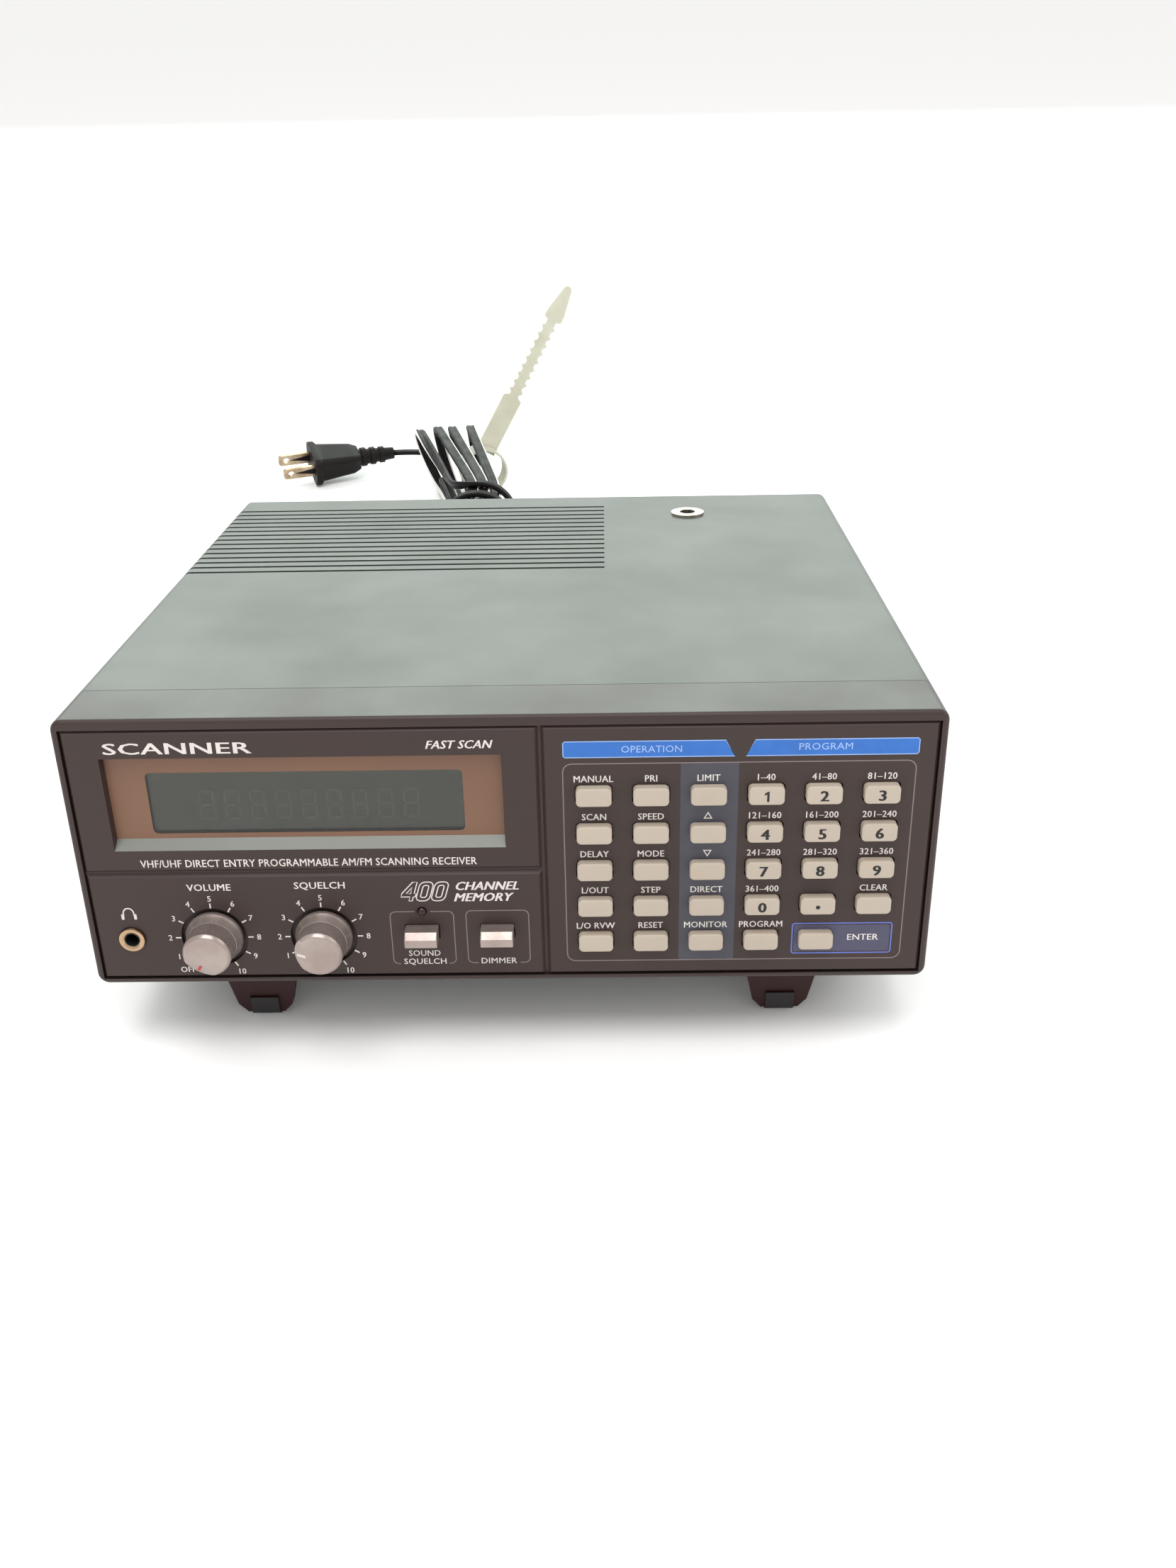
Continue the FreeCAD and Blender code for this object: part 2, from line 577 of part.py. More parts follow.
def rear_sockets():
    """Antenna socket with bayonet lugs, power, speaker and tape jacks on the back."""
    front = "case_depth - rear_inset"
    barrel = rod("bnc_barrel", 4.8, 17.0, BNC_X, f"{front} - 6", SOCKET_ROW_Z)
    nut = rod("bnc_nut", 6.8, 2.0, BNC_X, front, SOCKET_ROW_Z)
    lugs = rod("bnc_lugs", 0.95, 11.0, BNC_X - 5.5, f"{front} + 7", SOCKET_ROW_Z, ALONG_X)
    well = rod("bnc_well", 4.1, 8.0, BNC_X, f"{front} + 5", SOCKET_ROW_Z)
    core = rod("bnc_core", 2.4, 5.5, BNC_X, f"{front} + 4.5", SOCKET_ROW_Z)
    pin_hole = rod("bnc_pin_hole", 0.7, 6.0, BNC_X, f"{front} + 5", SOCKET_ROW_Z)
    shell = cut("bnc_shell", fuse("bnc_solid", [barrel, nut, lugs]), [well])
    contact = cut("bnc_contact", core, [pin_hole])
    solids = [fuse("bnc_socket", [shell, contact])]
    for name, x in REAR_JACKS:
        radius = 1.8 if name != "power_jack" else 2.8
        bush = rod(name + "_bush", 3.0, 5.0, x, f"{front} - 3", SOCKET_ROW_Z)
        ring = rod(name + "_ring", 4.4, 1.4, x, front, SOCKET_ROW_Z)
        block = slab(name + "_block", x - 5, x + 5, f"{front} - 14", f"{front} - 2",
                     SOCKET_ROW_Z - 5, SOCKET_ROW_Z + 5)
        bore = rod(name + "_bore", radius, 14.0, x, f"{front} - 11", SOCKET_ROW_Z)
        solids.append(cut(name + "_cut", fuse(name + "_solid", [bush, ring, block]), [bore]))
    solids.append(rod("power_pin", 1.0, 11.0, 58.0, f"{front} - 11", SOCKET_ROW_Z))
    return node("rear_sockets", group("rear_socket_group", solids))


def antenna_bush():
    """The flanged bush that a telescopic antenna screws into."""
    top = "case_height"
    flange = rod("bush_flange", "antenna_ring", 0.8, "antenna_x", "antenna_y", top, ALONG_Z)
    sleeve = rod("bush_sleeve", "antenna_ring - 1.35", 14.0, "antenna_x", "antenna_y",
                 f"{top} - 14", ALONG_Z)
    nut = rod("bush_nut", 7.0, 2.4, "antenna_x", "antenna_y", f"{top} - wall - 2.5", ALONG_Z)
    bore = rod("bush_bore", "antenna_bore", 13.8, "antenna_x", "antenna_y", f"{top} - 12",
               ALONG_Z)
    solid = fuse("bush_solid", [flange, sleeve, nut])
    return node("antenna_bush", cut("bush_cut", solid, [bore]))


def cord_grommet():
    """The tapered strain relief through the back panel, round the cord."""
    front = "case_depth - rear_inset"
    head = rod("grommet_head", 7.0, 2.0, "exit_x", front, "exit_z")
    neck = rod("grommet_neck", 5.0, 4.0, "exit_x", f"{front} - 4", "exit_z")
    boot = cone("grommet_boot", 5.0, 3.4, "boot_long", "exit_x", front, "exit_z")
    return node("cord_grommet", fuse("grommet_solid", [head, neck, boot]))


# ---------------------------------------------------------------- inside the case

def keypad_board():
    """Two boards behind the panel: one for the keys, one for the knobs and buttons."""
    keys = slab("board_keys", 15.0, 104.0, "board_front", "board_front + board_thick", 7.0, 62.0)
    left = slab("board_left", -104.0, 8.0, "left_board_front", "left_board_front + board_thick",
                3.5, 36.0)
    return node("keypad_board", group("keypad_board_group", [keys, left]))


def front_board_parts():
    """Key switches, latching push switches and the two control potentiometers."""
    solids = []
    for name, x, z in key_places():
        block = box("switch_" + name, "switch_side", "board_front - switch_front", "switch_side",
                    f"{x} - switch_side / 2", "switch_front", f"{z} - switch_side / 2")
        well = rod("well_" + name, "stem_radius + 0.1", 3.0, x, "switch_front - 0.5", z)
        solids.append(cut("switch_cut_" + name, block, [well]))
    for name, x in (("sound", "sound_button_x"), ("dimmer", "dimmer_button_x")):
        block = slab("push_" + name, f"{x} - 4", f"{x} + 4", 6.8, "left_board_front",
                     "button_z - 4", "button_z + 4")
        well = slab("push_well_" + name, f"{x} - 1.8", f"{x} + 1.8", 6.0, 11.5,
                    "button_z - 1.5", "button_z + 1.5")
        solids.append(cut("push_cut_" + name, block, [well]))
    for name, x in (("volume", "volume_x"), ("squelch", "squelch_x")):
        can = rod("pot_" + name, 8.0, "left_board_front - 5", x, 5.0, "knob_z")
        bore = rod("pot_bore_" + name, "shaft_radius + running_gap", 7.0, x, 4.0, "knob_z")
        solids.append(cut("pot_cut_" + name, can, [bore]))
    return node("front_board_parts", group("front_board_group", solids))


MAIN_BOARD_Z = 9.0


def main_board():
    """The main circuit board with its larger components as separate blocks."""
    solids = [slab("board_main", -60.0, 90.0, 34.0, 196.0, MAIN_BOARD_Z, MAIN_BOARD_Z + 1.6)]
    top = MAIN_BOARD_Z + 1.6
    chips = [(-40, 60, 36, 14, 4), (10, 52, 14, 36, 4), (70, 62, 18, 18, 3), (72, 100, 20, 10, 3),
             (-42, 92, 22, 9, 4)]
    for index, (x, y, long, wide, tall) in enumerate(chips):
        solids.append(slab(f"chip_{index}", x - long / 2, x + long / 2, y - wide / 2,
                           y + wide / 2, top, top + tall))
    cans = [(-52, 46, 5, 12), (-22, 100, 6.3, 16), (44, 60, 4, 10), (44, 74, 4, 10),
            (84, 180, 5, 12), (70, 180, 5, 12)]
    for index, (x, y, radius, tall) in enumerate(cans):
        solids.append(rod(f"can_{index}", radius, tall, x, y, top, ALONG_Z))
    return node("main_board", group("main_board_group", solids))


def tuner_shield():
    """The folded tin box over the tuner, with a raised lid rim."""
    low = MAIN_BOARD_Z + 1.7
    can = slab("tuner_can", 12.0, 80.0, 112.0, 166.0, low, low + 20)
    lid = slab("tuner_lid", 14.0, 78.0, 114.0, 164.0, low + 20, low + 21)
    return node("tuner_shield", fuse("tuner_solid", [can, lid]))


def power_transformer():
    """A laminated core with its winding, beside the cord's entry."""
    core = slab("core_block", -100.0, -66.0, 150.0, 192.0, "wall + 2", 44.5)
    eyes = [slab(f"core_eye_{index}", -101.0, -65.0, y, y + 9, 13.0, 36.0)
            for index, y in enumerate((157.0, 176.0))]
    winding = slab("core_winding", -104.0, -62.0, 158.5, 183.5, 14.5, 34.5)
    stack = fuse("core_solid", [cut("core_cut", core, eyes), winding])
    return node("power_transformer", stack)


def speaker():
    """A round speaker held under the slots: basket, magnet and cone."""
    x, y, top = -30.0, 152.0, "case_height - wall - 4"
    ring = rod("speaker_ring", 34.0, 2.0, x, y, f"{top} - 2", ALONG_Z)
    basket = cone("speaker_basket", 15.0, 32.0, 16.0, x, y, f"{top} - 18", ALONG_Z)
    magnet = rod("speaker_magnet", 19.0, 10.0, x, y, f"{top} - 28", ALONG_Z)
    hollow = cone("speaker_hollow", 8.0, 30.0, 15.0, x, y, f"{top} - 14.9", ALONG_Z)
    solid = fuse("speaker_solid", [ring, basket, magnet])
    return node("speaker", cut("speaker_cut", solid, [hollow]))


def case_screws():
    """Four cross-head screws up through the base."""
    screws = []
    for index, (x, y) in enumerate(SCREW_PLACES):
        head = rod(f"screw_head_{index}", 3.0, 1.9, x, y, 0.5, ALONG_Z)
        shank = rod(f"screw_shank_{index}", 1.5, 26.0, x, y, 2.2, ALONG_Z)
        slot_a = box(f"screw_cross_a{index}", 3.6, 0.8, 1.4, x - 1.8, y - 0.4, 0)
        slot_b = box(f"screw_cross_b{index}", 0.8, 3.6, 1.4, x - 0.4, y - 1.8, 0)
        solid = fuse(f"screw_solid_{index}", [head, shank])
        screws.append(cut(f"screw_cut_{index}", solid, [slot_a, slot_b]))
    return node("case_screws", group("screw_group", screws))


# ---------------------------------------------------------------- feet and legs

def rear_feet():
    """Two rubber discs under the back of the case."""
    feet = []
    for index, side in enumerate((-1, 1)):
        disc = rod(f"foot_disc_{index}", "foot_radius", "foot_tall", f"{side} * foot_x",
                   "foot_y", "-foot_tall", ALONG_Z)
        feet.append(disc)
    return node("rear_feet", group("feet_group", feet))


def leg(label, middle):
    """A flip-down leg: barrel on two pins, tapered arm hanging down, rubber tip.

    The arm's side outline is a strip between two circles, the barrel's and the tip's; its front
    outline is a trapezoid.  The arm is what the two have in common.
    """
    pivot = Vector(0, D.leg_pivot_y, D.leg_pivot_z)
    tip = Vector(0, D.leg_tip_y, D.leg_tip_z)
    along = (tip - pivot).normalize()
    across = Vector(0, along.z, -along.y) * (D.leg_thick / 2)
    end = tip + along * 1.5
    strip = Part.makePolygon([pivot + across, end + across, end - across, pivot - across,
                              pivot + across])
    wide = D.leg_top_width
    side_solid = Part.Face(strip).extrude(Vector(wide, 0, 0))
    side_solid.translate(Vector(-wide / 2, 0, 0))
    low = D.leg_low_width / 2
    bottom = D.leg_tip_z
    front = [(-wide / 2, 0.0), (wide / 2, 0.0), (low, bottom + 1.2), (low - 2.4, bottom - 1.5),
             (-low + 2.4, bottom - 1.5), (-low, bottom + 1.2), (-wide / 2, 0.0)]
    face = Part.Face(Part.makePolygon([Vector(x, 0, z) for x, z in front]))
    front_solid = face.extrude(Vector(0, 60, 0))
    front_solid.translate(Vector(0, -10, 0))
    arm = side_solid.common(front_solid)
    barrel = Part.makeCylinder(D.leg_barrel, wide, pivot - Vector(wide / 2, 0, 0), X_AXIS)
    heel = Part.makeBox(wide, 2.6, 2.0, pivot + Vector(-wide / 2, -2.9, 0.1))
    pins = Part.makeCylinder(D.leg_pin_radius, wide + 5.4,
                             pivot - Vector(wide / 2 + 2.7, 0, 0), X_AXIS)
    pad_wide = 7.8
    pad_round = Part.makeCylinder(D.leg_tip_radius, pad_wide,
                                  tip - Vector(pad_wide / 2, 0, 0), X_AXIS)
    shin = tip - along * 4.2
    outer = Vector(0, across.y, across.z) * (-(D.leg_tip_radius) / (D.leg_thick / 2))
    if outer.y > 0:
        outer = outer * -1.0
    pad_strip = Part.makePolygon([tip, tip + outer, shin + outer, shin, tip])
    pad_flat = Part.Face(pad_strip).extrude(Vector(pad_wide, 0, 0))
    pad_flat.translate(Vector(-pad_wide / 2, 0, 0))
    rubber = pad_round.fuse(pad_flat).removeSplitter()
    frame = arm.fuse([barrel, heel, pins]).cut(rubber).removeSplitter()
    piece = doc.addObject("Part::Feature", label)
    piece.Shape = Part.makeCompound([frame, rubber])
    return node(label, piece, Vector(middle, 0, 0))


# ---------------------------------------------------------------- the cord on the table

def cord_exit():
    """The end of the strain relief, standing on the table."""
    return SEAT.multVec(Vector(D.exit_x, D.case_depth - D.rear_inset + D.boot_long, D.exit_z))


LEAD_ROUTE = [(-83.9, 134.5, 15.6), (-82.0, 151.0, 10.5), (-77.0, 167.0, 5.0),
              (-68.0, 183.0, 3.2), (-57.5, 197.0, 3.2), (-50.5, 211.0, 4.6),
              (-46.8, 226.0, 9.0)]

TAIL_ROUTE = [(-62.0, 362.0, 7.5), (-66.5, 375.0, 9.5), (-77.0, 380.5, 11.0)]

PLUG_END = Vector(-93.0, 378.2, 11.0)


def tube(label, points, radius):
    """A round tube along straight runs joined by tangent arcs.

    Each arc's radius is 0.45 of its shorter run divided by the tangent of half the turn.
    """
    path = []
    here = points[0]
    for before, corner, after in zip(points, points[1:], points[2:]):
        back, ahead = before - corner, after - corner
        half_turn = (math.pi - back.getAngle(ahead)) / 2
        trim = 0.45 * min(back.Length, ahead.Length)
        start = corner + back.normalize() * trim
        stop = corner + ahead.normalize() * trim
        bend = trim / math.tan(half_turn)
        centre_way = (back + ahead).normalize()
        centre = corner + centre_way * math.hypot(trim, bend)
        middle = centre - centre_way * bend
        path += [Part.LineSegment(here, start).toShape(), Part.Arc(start, middle, stop).toShape()]
        here = stop
        print(f"{label}: bend radius {bend:.0f} mm, {math.degrees(2 * half_turn):.0f} deg")
    path.append(Part.LineSegment(here, points[-1]).toShape())
    wire = Part.Wire(path)
    first = points[1] - points[0]
    section = Part.Wire([Part.Circle(points[0], first, radius).toShape()])
    solid = wire.makePipeShell([section], True, False)
    ideal = math.pi * radius ** 2 * wire.Length
    print(f"{label}: length {wire.Length:.0f} mm, volume {solid.Volume:.0f} of {ideal:.0f} mm3")
    piece = doc.addObject("Part::Feature", label)
    piece.Shape = solid
    return node(label, piece, seated=False)


def cord_hank():
    """The outer shape of the folded cord: a waist where it is wrapped, loops fanned behind."""
    sections = [(-35.0, 204.0, 17.0, 10.0, 15.0), (-34.0, 226.0, 18.6, 15.0, 18.4),
                (-34.0, 256.0, 18.6, 18.4, 18.45), (-38.0, 284.0, 18.6, 20.0, 18.5),
                (-48.0, 330.0, 19.0, 30.0, 18.9), (-57.0, 366.0, 16.6, 25.0, 16.5),
                (-62.0, 376.0, 12.0, 14.0, 9.0)]
    outlines = [hank_outline(*section) for section in sections]
    piece = doc.addObject("Part::Feature", "cord_hank")
    piece.Shape = Part.makeLoft(outlines, True, True)
    return node("cord_hank", piece, seated=False)


def hank_outline(x, y, z, half_wide, half_tall, sides=20):
    """A many-sided oval: points (x + a cos t, z + b sin t) at equal steps of t."""
    points = []
    for step in range(sides + 1):
        turn = 2 * math.pi * (step % sides) / sides
        points.append(Vector(x + half_wide * math.cos(turn), y, z + half_tall * math.sin(turn)))
    return Part.makePolygon(points)


def plug_frame():
    """Axes of the plug as it lies: away from the cord, across the blades, and up its side."""
    yaw, roll = math.radians(22.0), math.radians(18.0)
    forward = Vector(-math.cos(yaw), -math.sin(yaw), 0)
    level = Vector(math.sin(yaw), -math.cos(yaw), 0)
    across = level * math.cos(roll) + Vector(0, 0, -math.sin(roll))
    return forward, across, forward.cross(across)


def power_plug():
    """A moulded two-blade plug lying on its edge: flange, body, ribbed relief and blades."""
    forward, across, upward = plug_frame()
    turn = Placement(FreeCAD.Matrix(forward.x, across.x, upward.x, PLUG_END.x,
                                    forward.y, across.y, upward.y, PLUG_END.y,
                                    forward.z, across.z, upward.z, PLUG_END.z,
                                    0, 0, 0, 1))
    # local x runs from the cord to the blades, y across them, z along their width
    sections = [(20.0, 13.0, 9.0), (24.0, 17.0, 11.0), (42.0, 21.0, 14.0), (43.5, 25.0, 16.0),
                (46.5, 25.0, 16.0)]
    body = Part.makeLoft([plug_outline(*section) for section in sections], True, True)
    relief = Part.makeCone(3.2, 4.6, 20.5, Vector(0, 0, 0), X_AXIS)
    ribs = [Part.makeCylinder(5.2 - 0.35 * index, 2.6, Vector(16.0 - 5.2 * index, 0, 0), X_AXIS)
            for index in range(3)]
    moulding = body.fuse([relief] + ribs).removeSplitter()
    blades = []
    for hand in (-1, 1):
        blade = Part.makeBox(24.0, 1.5, 6.35, Vector(39.6, hand * 6.35 - 0.75, -3.175))
        nose = [edge for edge in blade.Edges
                if is_along(edge, Y_AXIS) and edge.BoundBox.XMin > 63.5]
        blade = blade.makeFillet(1.8, nose)
        hole = Part.makeCylinder(1.6, 6.0, Vector(59.4, hand * 6.35 - 3.0, 0), Y_AXIS)
        blades.append(blade.cut(hole))
    moulding = moulding.cut(Part.makeCompound(blades))
    piece = doc.addObject("Part::Feature", "power_plug")
    solids = Part.makeCompound([moulding] + blades)
    solids.transformShape(turn.Matrix, True)
    piece.Shape = solids
    return node("power_plug", piece, seated=False)


def plug_outline(x, wide, tall):
    """A rounded rectangle across the plug at distance x, its corners 0.28 of its height."""
    corner = 0.28 * tall
    rectangle = Part.makeBox(1.0, wide, tall, Vector(x, -wide / 2, -tall / 2))
    edges = [edge for edge in rectangle.Edges if is_along(edge, X_AXIS)]
    rounded_block = rectangle.makeFillet(corner, edges)
    face = min(rounded_block.Faces, key=lambda item: item.CenterOfMass.x)
    return face.OuterWire


STRAP_BASE = Vector(-36.0, 321.0, 29.0)
STRAP_TIP = Vector(9.8, 332.0, 109.0)
STRAP_LOOP = Vector(-37.5, 319.0, 20.0)


def strap_frame():
    """Along the strap's tail, across its face, and the face's normal."""
    along = (STRAP_TIP - STRAP_BASE).normalize()
    normal = Vector(0.10, -0.97, 0.08)
    normal = (normal - along * normal.dot(along)).normalize()
    return along, normal.cross(along), normal


def tie_strap():
    """A nylon tie: a band round the cords, its buckle and its toothed tail standing up."""
    along, across, normal = strap_frame()
    length = (STRAP_TIP - STRAP_BASE).Length
    half, neck, tooth = 5.0, 2.4, 1.5
    outline = [(0.0, -half), (31.0, -half), (32.5, -neck)]
    for index in range(9):
        start = 33.5 + 4.4 * index
        outline += [(start, -neck), (start + 1.6, -neck - tooth), (start + 3.0, -neck)]
    outline += [(74.0, -neck), (75.0, -4.8), (79.0, -4.6), (length - 3.0, -2.4),
                (length - 1.0, -1.9), (length, -0.9)]
    full = outline + [(s, -w) for s, w in reversed(outline)]
    points = [STRAP_BASE + along * s + across * w for s, w in full]
    tail = Part.Face(Part.makePolygon(points + points[:1])).extrude(normal * 1.1)
    way = Vector(-0.25, 0.96, 0.0).normalize()
    band = Part.makeCylinder(12.2, 11.0, STRAP_LOOP - way * 5.5, way)
    band = band.cut(Part.makeCylinder(11.1, 13.0, STRAP_LOOP - way * 6.5, way))
    solid = tail.fuse(band).removeSplitter()
    piece = doc.addObject("Part::Feature", "tie_strap")
    piece.Shape = solid
    return node("tie_strap", piece, seated=False)


# ---------------------------------------------------------------- build, check, write

def build_receiver():
    """Every piece of the receiver itself."""
    for name, x, z in key_places():
        key_cap(name, x, z)
    push_button("sound_squelch_button", D.sound_button_x)
    push_button("dimmer_button", D.dimmer_button_x)
    knob("volume_knob", D.volume_x, -150.0)
    knob("squelch_knob", D.squelch_x, -95.0)
    front_panel()
    front_bezel()
    top_cover()
    bottom_case()
    rear_panel()
    headphone_socket()
    signal_led()
    display_lens()
    lcd_module()
    rear_sockets()
    antenna_bush()
    cord_grommet()
    keypad_board()
    front_board_parts()
    main_board()
    tuner_shield()
    power_transformer()
    speaker()
    case_screws()
    rear_feet()
    leg("left_leg", D.left_leg_x)
    leg("right_leg", D.right_leg_x)


def build_cord():
    """The cord from the strain relief to the plug, and the tie round it."""
    start = cord_exit()
    print("cord exit", [round(value, 2) for value in start])
    tube("power_cord_lead", [start] + [Vector(*point) for point in LEAD_ROUTE], D.cord_wide / 2)
    cord_hank()
    tube("power_cord_tail", [Vector(*point) for point in TAIL_ROUTE] + [PLUG_END],
         D.cord_wide / 2)
    power_plug()
    tie_strap()


def check_and_write():
    """Stop on anything unsound, then write one STEP file per sub-part."""
    doc.recompute()
    for item in doc.Objects:
        if {"Invalid", "Error"} & set(item.State):
            raise RuntimeError(f"{item.Label} is {item.State}")
    os.makedirs("parts", exist_ok=True)
    for item in NODES:
        if item.Shape.isNull() or not item.Shape.isValid() or not item.Shape.Solids:
            raise RuntimeError(f"{item.Label} has no sound shape")
    for item in NODES:
        item.Shape.exportStep(f"parts/{item.Label}.step")
    print(len(NODES), "sub-parts written")


build_receiver()
build_cord()
check_and_write()
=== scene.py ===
# %% [markdown]
# # A desktop scanning receiver
# A scanning receiver is a shallow plastic case with a busy front: a display window, two knobs,
# two push buttons and a keypad. It leans back on two flip-down legs, and its mains cord lies
# folded behind it. The solid model comes first and is loaded as a frame that nothing may move.
# Everything below gives that frame its surfaces, its printing and its cord.

# %% Load the frame
import json
import math

import bpy
import numpy as np
from mathutils import Matrix, Vector


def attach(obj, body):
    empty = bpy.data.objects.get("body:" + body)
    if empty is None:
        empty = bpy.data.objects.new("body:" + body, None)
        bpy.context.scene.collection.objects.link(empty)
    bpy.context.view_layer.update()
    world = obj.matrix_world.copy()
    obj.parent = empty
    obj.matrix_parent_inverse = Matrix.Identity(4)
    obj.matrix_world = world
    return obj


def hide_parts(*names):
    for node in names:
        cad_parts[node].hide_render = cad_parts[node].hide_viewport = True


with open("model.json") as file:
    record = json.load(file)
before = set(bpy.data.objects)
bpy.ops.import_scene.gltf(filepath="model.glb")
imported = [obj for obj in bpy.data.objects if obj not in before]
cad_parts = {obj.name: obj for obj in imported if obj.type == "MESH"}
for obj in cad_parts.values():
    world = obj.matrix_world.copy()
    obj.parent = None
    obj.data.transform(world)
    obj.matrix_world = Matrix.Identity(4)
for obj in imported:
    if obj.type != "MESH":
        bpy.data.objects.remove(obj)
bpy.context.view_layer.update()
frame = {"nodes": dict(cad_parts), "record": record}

record = frame["record"]
mounts = {item["name"]: item for item in record["mounts"]}

# %% [markdown]
# ## Measuring in the case's own directions
# The case is tipped back, so its panel isn't upright. Sizes on a panel are easier to think of
# in the panel's own directions: right, back and up, in millimetres from the middle of the front
# lower edge. One could turn every piece with an empty, but a finished piece has to sit unturned
# at the origin. So one small function turns whole arrays of points instead.

# %% Case directions
MM = 0.001
TOP_MARK = np.array([20.0, 70.0, 75.3])
RIGHT = np.array([1.0, 0.0, 0.0])
BACK = np.array(mounts["speaker_jack"]["axis"])
UP = np.array(mounts["case_top"]["axis"])
CASE = np.array([RIGHT, BACK, UP])
CORNER = np.array(mounts["case_top"]["pos_m"]) - (TOP_MARK * MM) @ CASE


def on_case(points):
    """Case millimetres to metres: corner + x * right + y * back + z * up."""
    return CORNER + (np.asarray(points, float) * MM) @ CASE


print("lean", round(math.degrees(math.asin(-BACK[2])), 2), "degrees")

# %% [markdown]
# ## The camera
# A picture taken from close above shows strong perspective, so the camera's distance matters as
# much as its angle. The camera stands 0.4 m away and looks down by 31 degrees, with a lens a
# little wider than normal, turned a degree about its own axis as a hand-held one is.

# %% Camera
EYE = (0.0265, -0.3994, 0.2558)
PITCH, YAW, ROLL = (math.radians(angle) for angle in (30.84, -0.977, -1.169))


def camera_axes(pitch, yaw, roll):
    """Right, up and backward directions of a camera that looks along +y, turned and dipped."""
    ahead = np.array([math.sin(yaw) * math.cos(pitch), math.cos(yaw) * math.cos(pitch),
                      -math.sin(pitch)])
    level = np.array([math.cos(yaw), -math.sin(yaw), 0.0])
    over = np.cross(level, ahead)
    right = math.cos(roll) * level + math.sin(roll) * over
    return right, np.cross(right, ahead), -ahead


camera = bpy.data.objects.new("camera", bpy.data.cameras.new("camera"))
bpy.context.scene.collection.objects.link(camera)
camera.data.sensor_fit = "VERTICAL"
camera.data.sensor_height = 36.0
camera.data.lens = 32.29
turn = Matrix([list(axis) for axis in camera_axes(PITCH, YAW, ROLL)]).transposed()
camera.matrix_world = Matrix.Translation(Vector(EYE)) @ turn.to_4x4()
bpy.context.scene.camera = camera
print("camera at", EYE, "lens", camera.data.lens)

# %% [markdown]
# ## Meshes from arrays
# Every new shape here is a grid: rows of points, each row a ring or a line. numpy works out all
# the points at once, and the faces join each point to its neighbours. That is quicker than
# adding faces one by one, and the shape stays a formula that can be read.

# %% Mesh helpers
ANY_ANGLE = 180.0


def link_mesh(name, points, faces, body=None, smooth=30.0):
    """An object at the origin from metres and faces, smooth except across sharp angles."""
    mesh = bpy.data.meshes.new(name)
    mesh.from_pydata(np.asarray(points).tolist(), [], [list(map(int, face)) for face in faces])
    mesh.validate()
    mesh.shade_smooth()
    if smooth < ANY_ANGLE:
        mesh.set_sharp_from_angle(angle=math.radians(smooth))
    piece = bpy.data.objects.new(name, mesh)
    bpy.context.scene.collection.objects.link(piece)
    if body:
        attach(piece, body)
    return piece


def grid_faces(rows, columns):
    """Quads between neighbouring points of a grid whose rows are rings, each end to its start."""
    row, column = np.meshgrid(np.arange(rows - 1), np.arange(columns), indexing="ij")
    here = row * columns + column
    beside = row * columns + (column + 1) % columns
    quads = np.stack([here, beside, beside + columns, here + columns], axis=-1)
    return quads.reshape(-1, 4)


def join_parts(parts):
    """Several (points, faces) as one pair, each part's faces moved past the points before it."""
    points, faces, start = [], [], 0
    for part_points, part_faces in parts:
        points.append(np.asarray(part_points, float))
        faces += [[int(index) + start for index in face] for face in part_faces]
        start += len(part_points)
    return np.concatenate(points), faces


print("mesh helpers ready")

# %% [markdown]
# ## Copies of the solid model's pieces
# Many pieces have the right shape already. Their meshes are loose triangles, which always look
# faceted. A copy whose doubled points are merged can be shaded smooth over its rounded edges,
# and the copy then stands for the piece.

# %% Clean copies
MERGE = 1e-6


def node_arrays(name):
    """Merged points and triangles of a node: points equal to MERGE are one."""
    mesh = frame["nodes"][name].data
    points = np.empty(len(mesh.vertices) * 3)
    mesh.vertices.foreach_get("co", points)
    points = points.reshape(-1, 3)
    mesh.calc_loop_triangles()
    triangles = np.empty(len(mesh.loop_triangles) * 3, int)
    mesh.loop_triangles.foreach_get("vertices", triangles)
    _, first, same = np.unique(np.round(points / MERGE).astype(np.int64), axis=0,
                               return_index=True, return_inverse=True)
    triangles = same.reshape(-1)[triangles].reshape(-1, 3)
    flat = ((triangles[:, 0] == triangles[:, 1]) | (triangles[:, 1] == triangles[:, 2])
            | (triangles[:, 0] == triangles[:, 2]))
    return points[first], triangles[~flat]


node_body = {node: body for body, nodes in record["behaviour"]["bodies"].items()
             for node in nodes}
node_slot = {item["node"]: item["material_slot"] for item in record["subparts"]}


def stand_for(piece, *nodes):
    """The piece replaces nodes and rides on their body."""
    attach(piece, node_body[nodes[0]])
    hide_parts(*nodes)
    return piece


def clean_copy(node, smooth=32.0):
    """A smooth-shaded copy of a node that stands for it."""
    points, triangles = node_arrays(node)
    return stand_for(link_mesh(node + "_skin", points, triangles, smooth=smooth), node)


print("node bodies", len(set(node_body.values())))

# %% [markdown]
# ## Finishes
# A plastic moulding is never one flat colour. Its mould leaves a fine grain, handling polishes
# some of it, and dust settles in the rest. Each finish here starts from the Principled shader
# and gets noise at two sizes: a fine one as bump, and a broad one that shifts colour and gloss.

# %% Finish helpers
def srgb(red, green, blue):
    """Screen values from 0 to 255 as linear light: ((v + 0.055) / 1.055) ** 2.4."""
    values = np.array([red, green, blue]) / 255.0
    linear = np.where(values <= 0.04045, values / 12.92, ((values + 0.055) / 1.055) ** 2.4)
    return (*linear.tolist(), 1.0)


def add(tree, kind, **settings):
    """A shader node: a setting named set_ and a word is a property, any other is an input."""
    node = tree.nodes.new(kind)
    for name, value in settings.items():
        if name.startswith("set_"):
            setattr(node, name[4:], value)
        else:
            node.inputs[name.replace("_", " ")].default_value = value
    return node


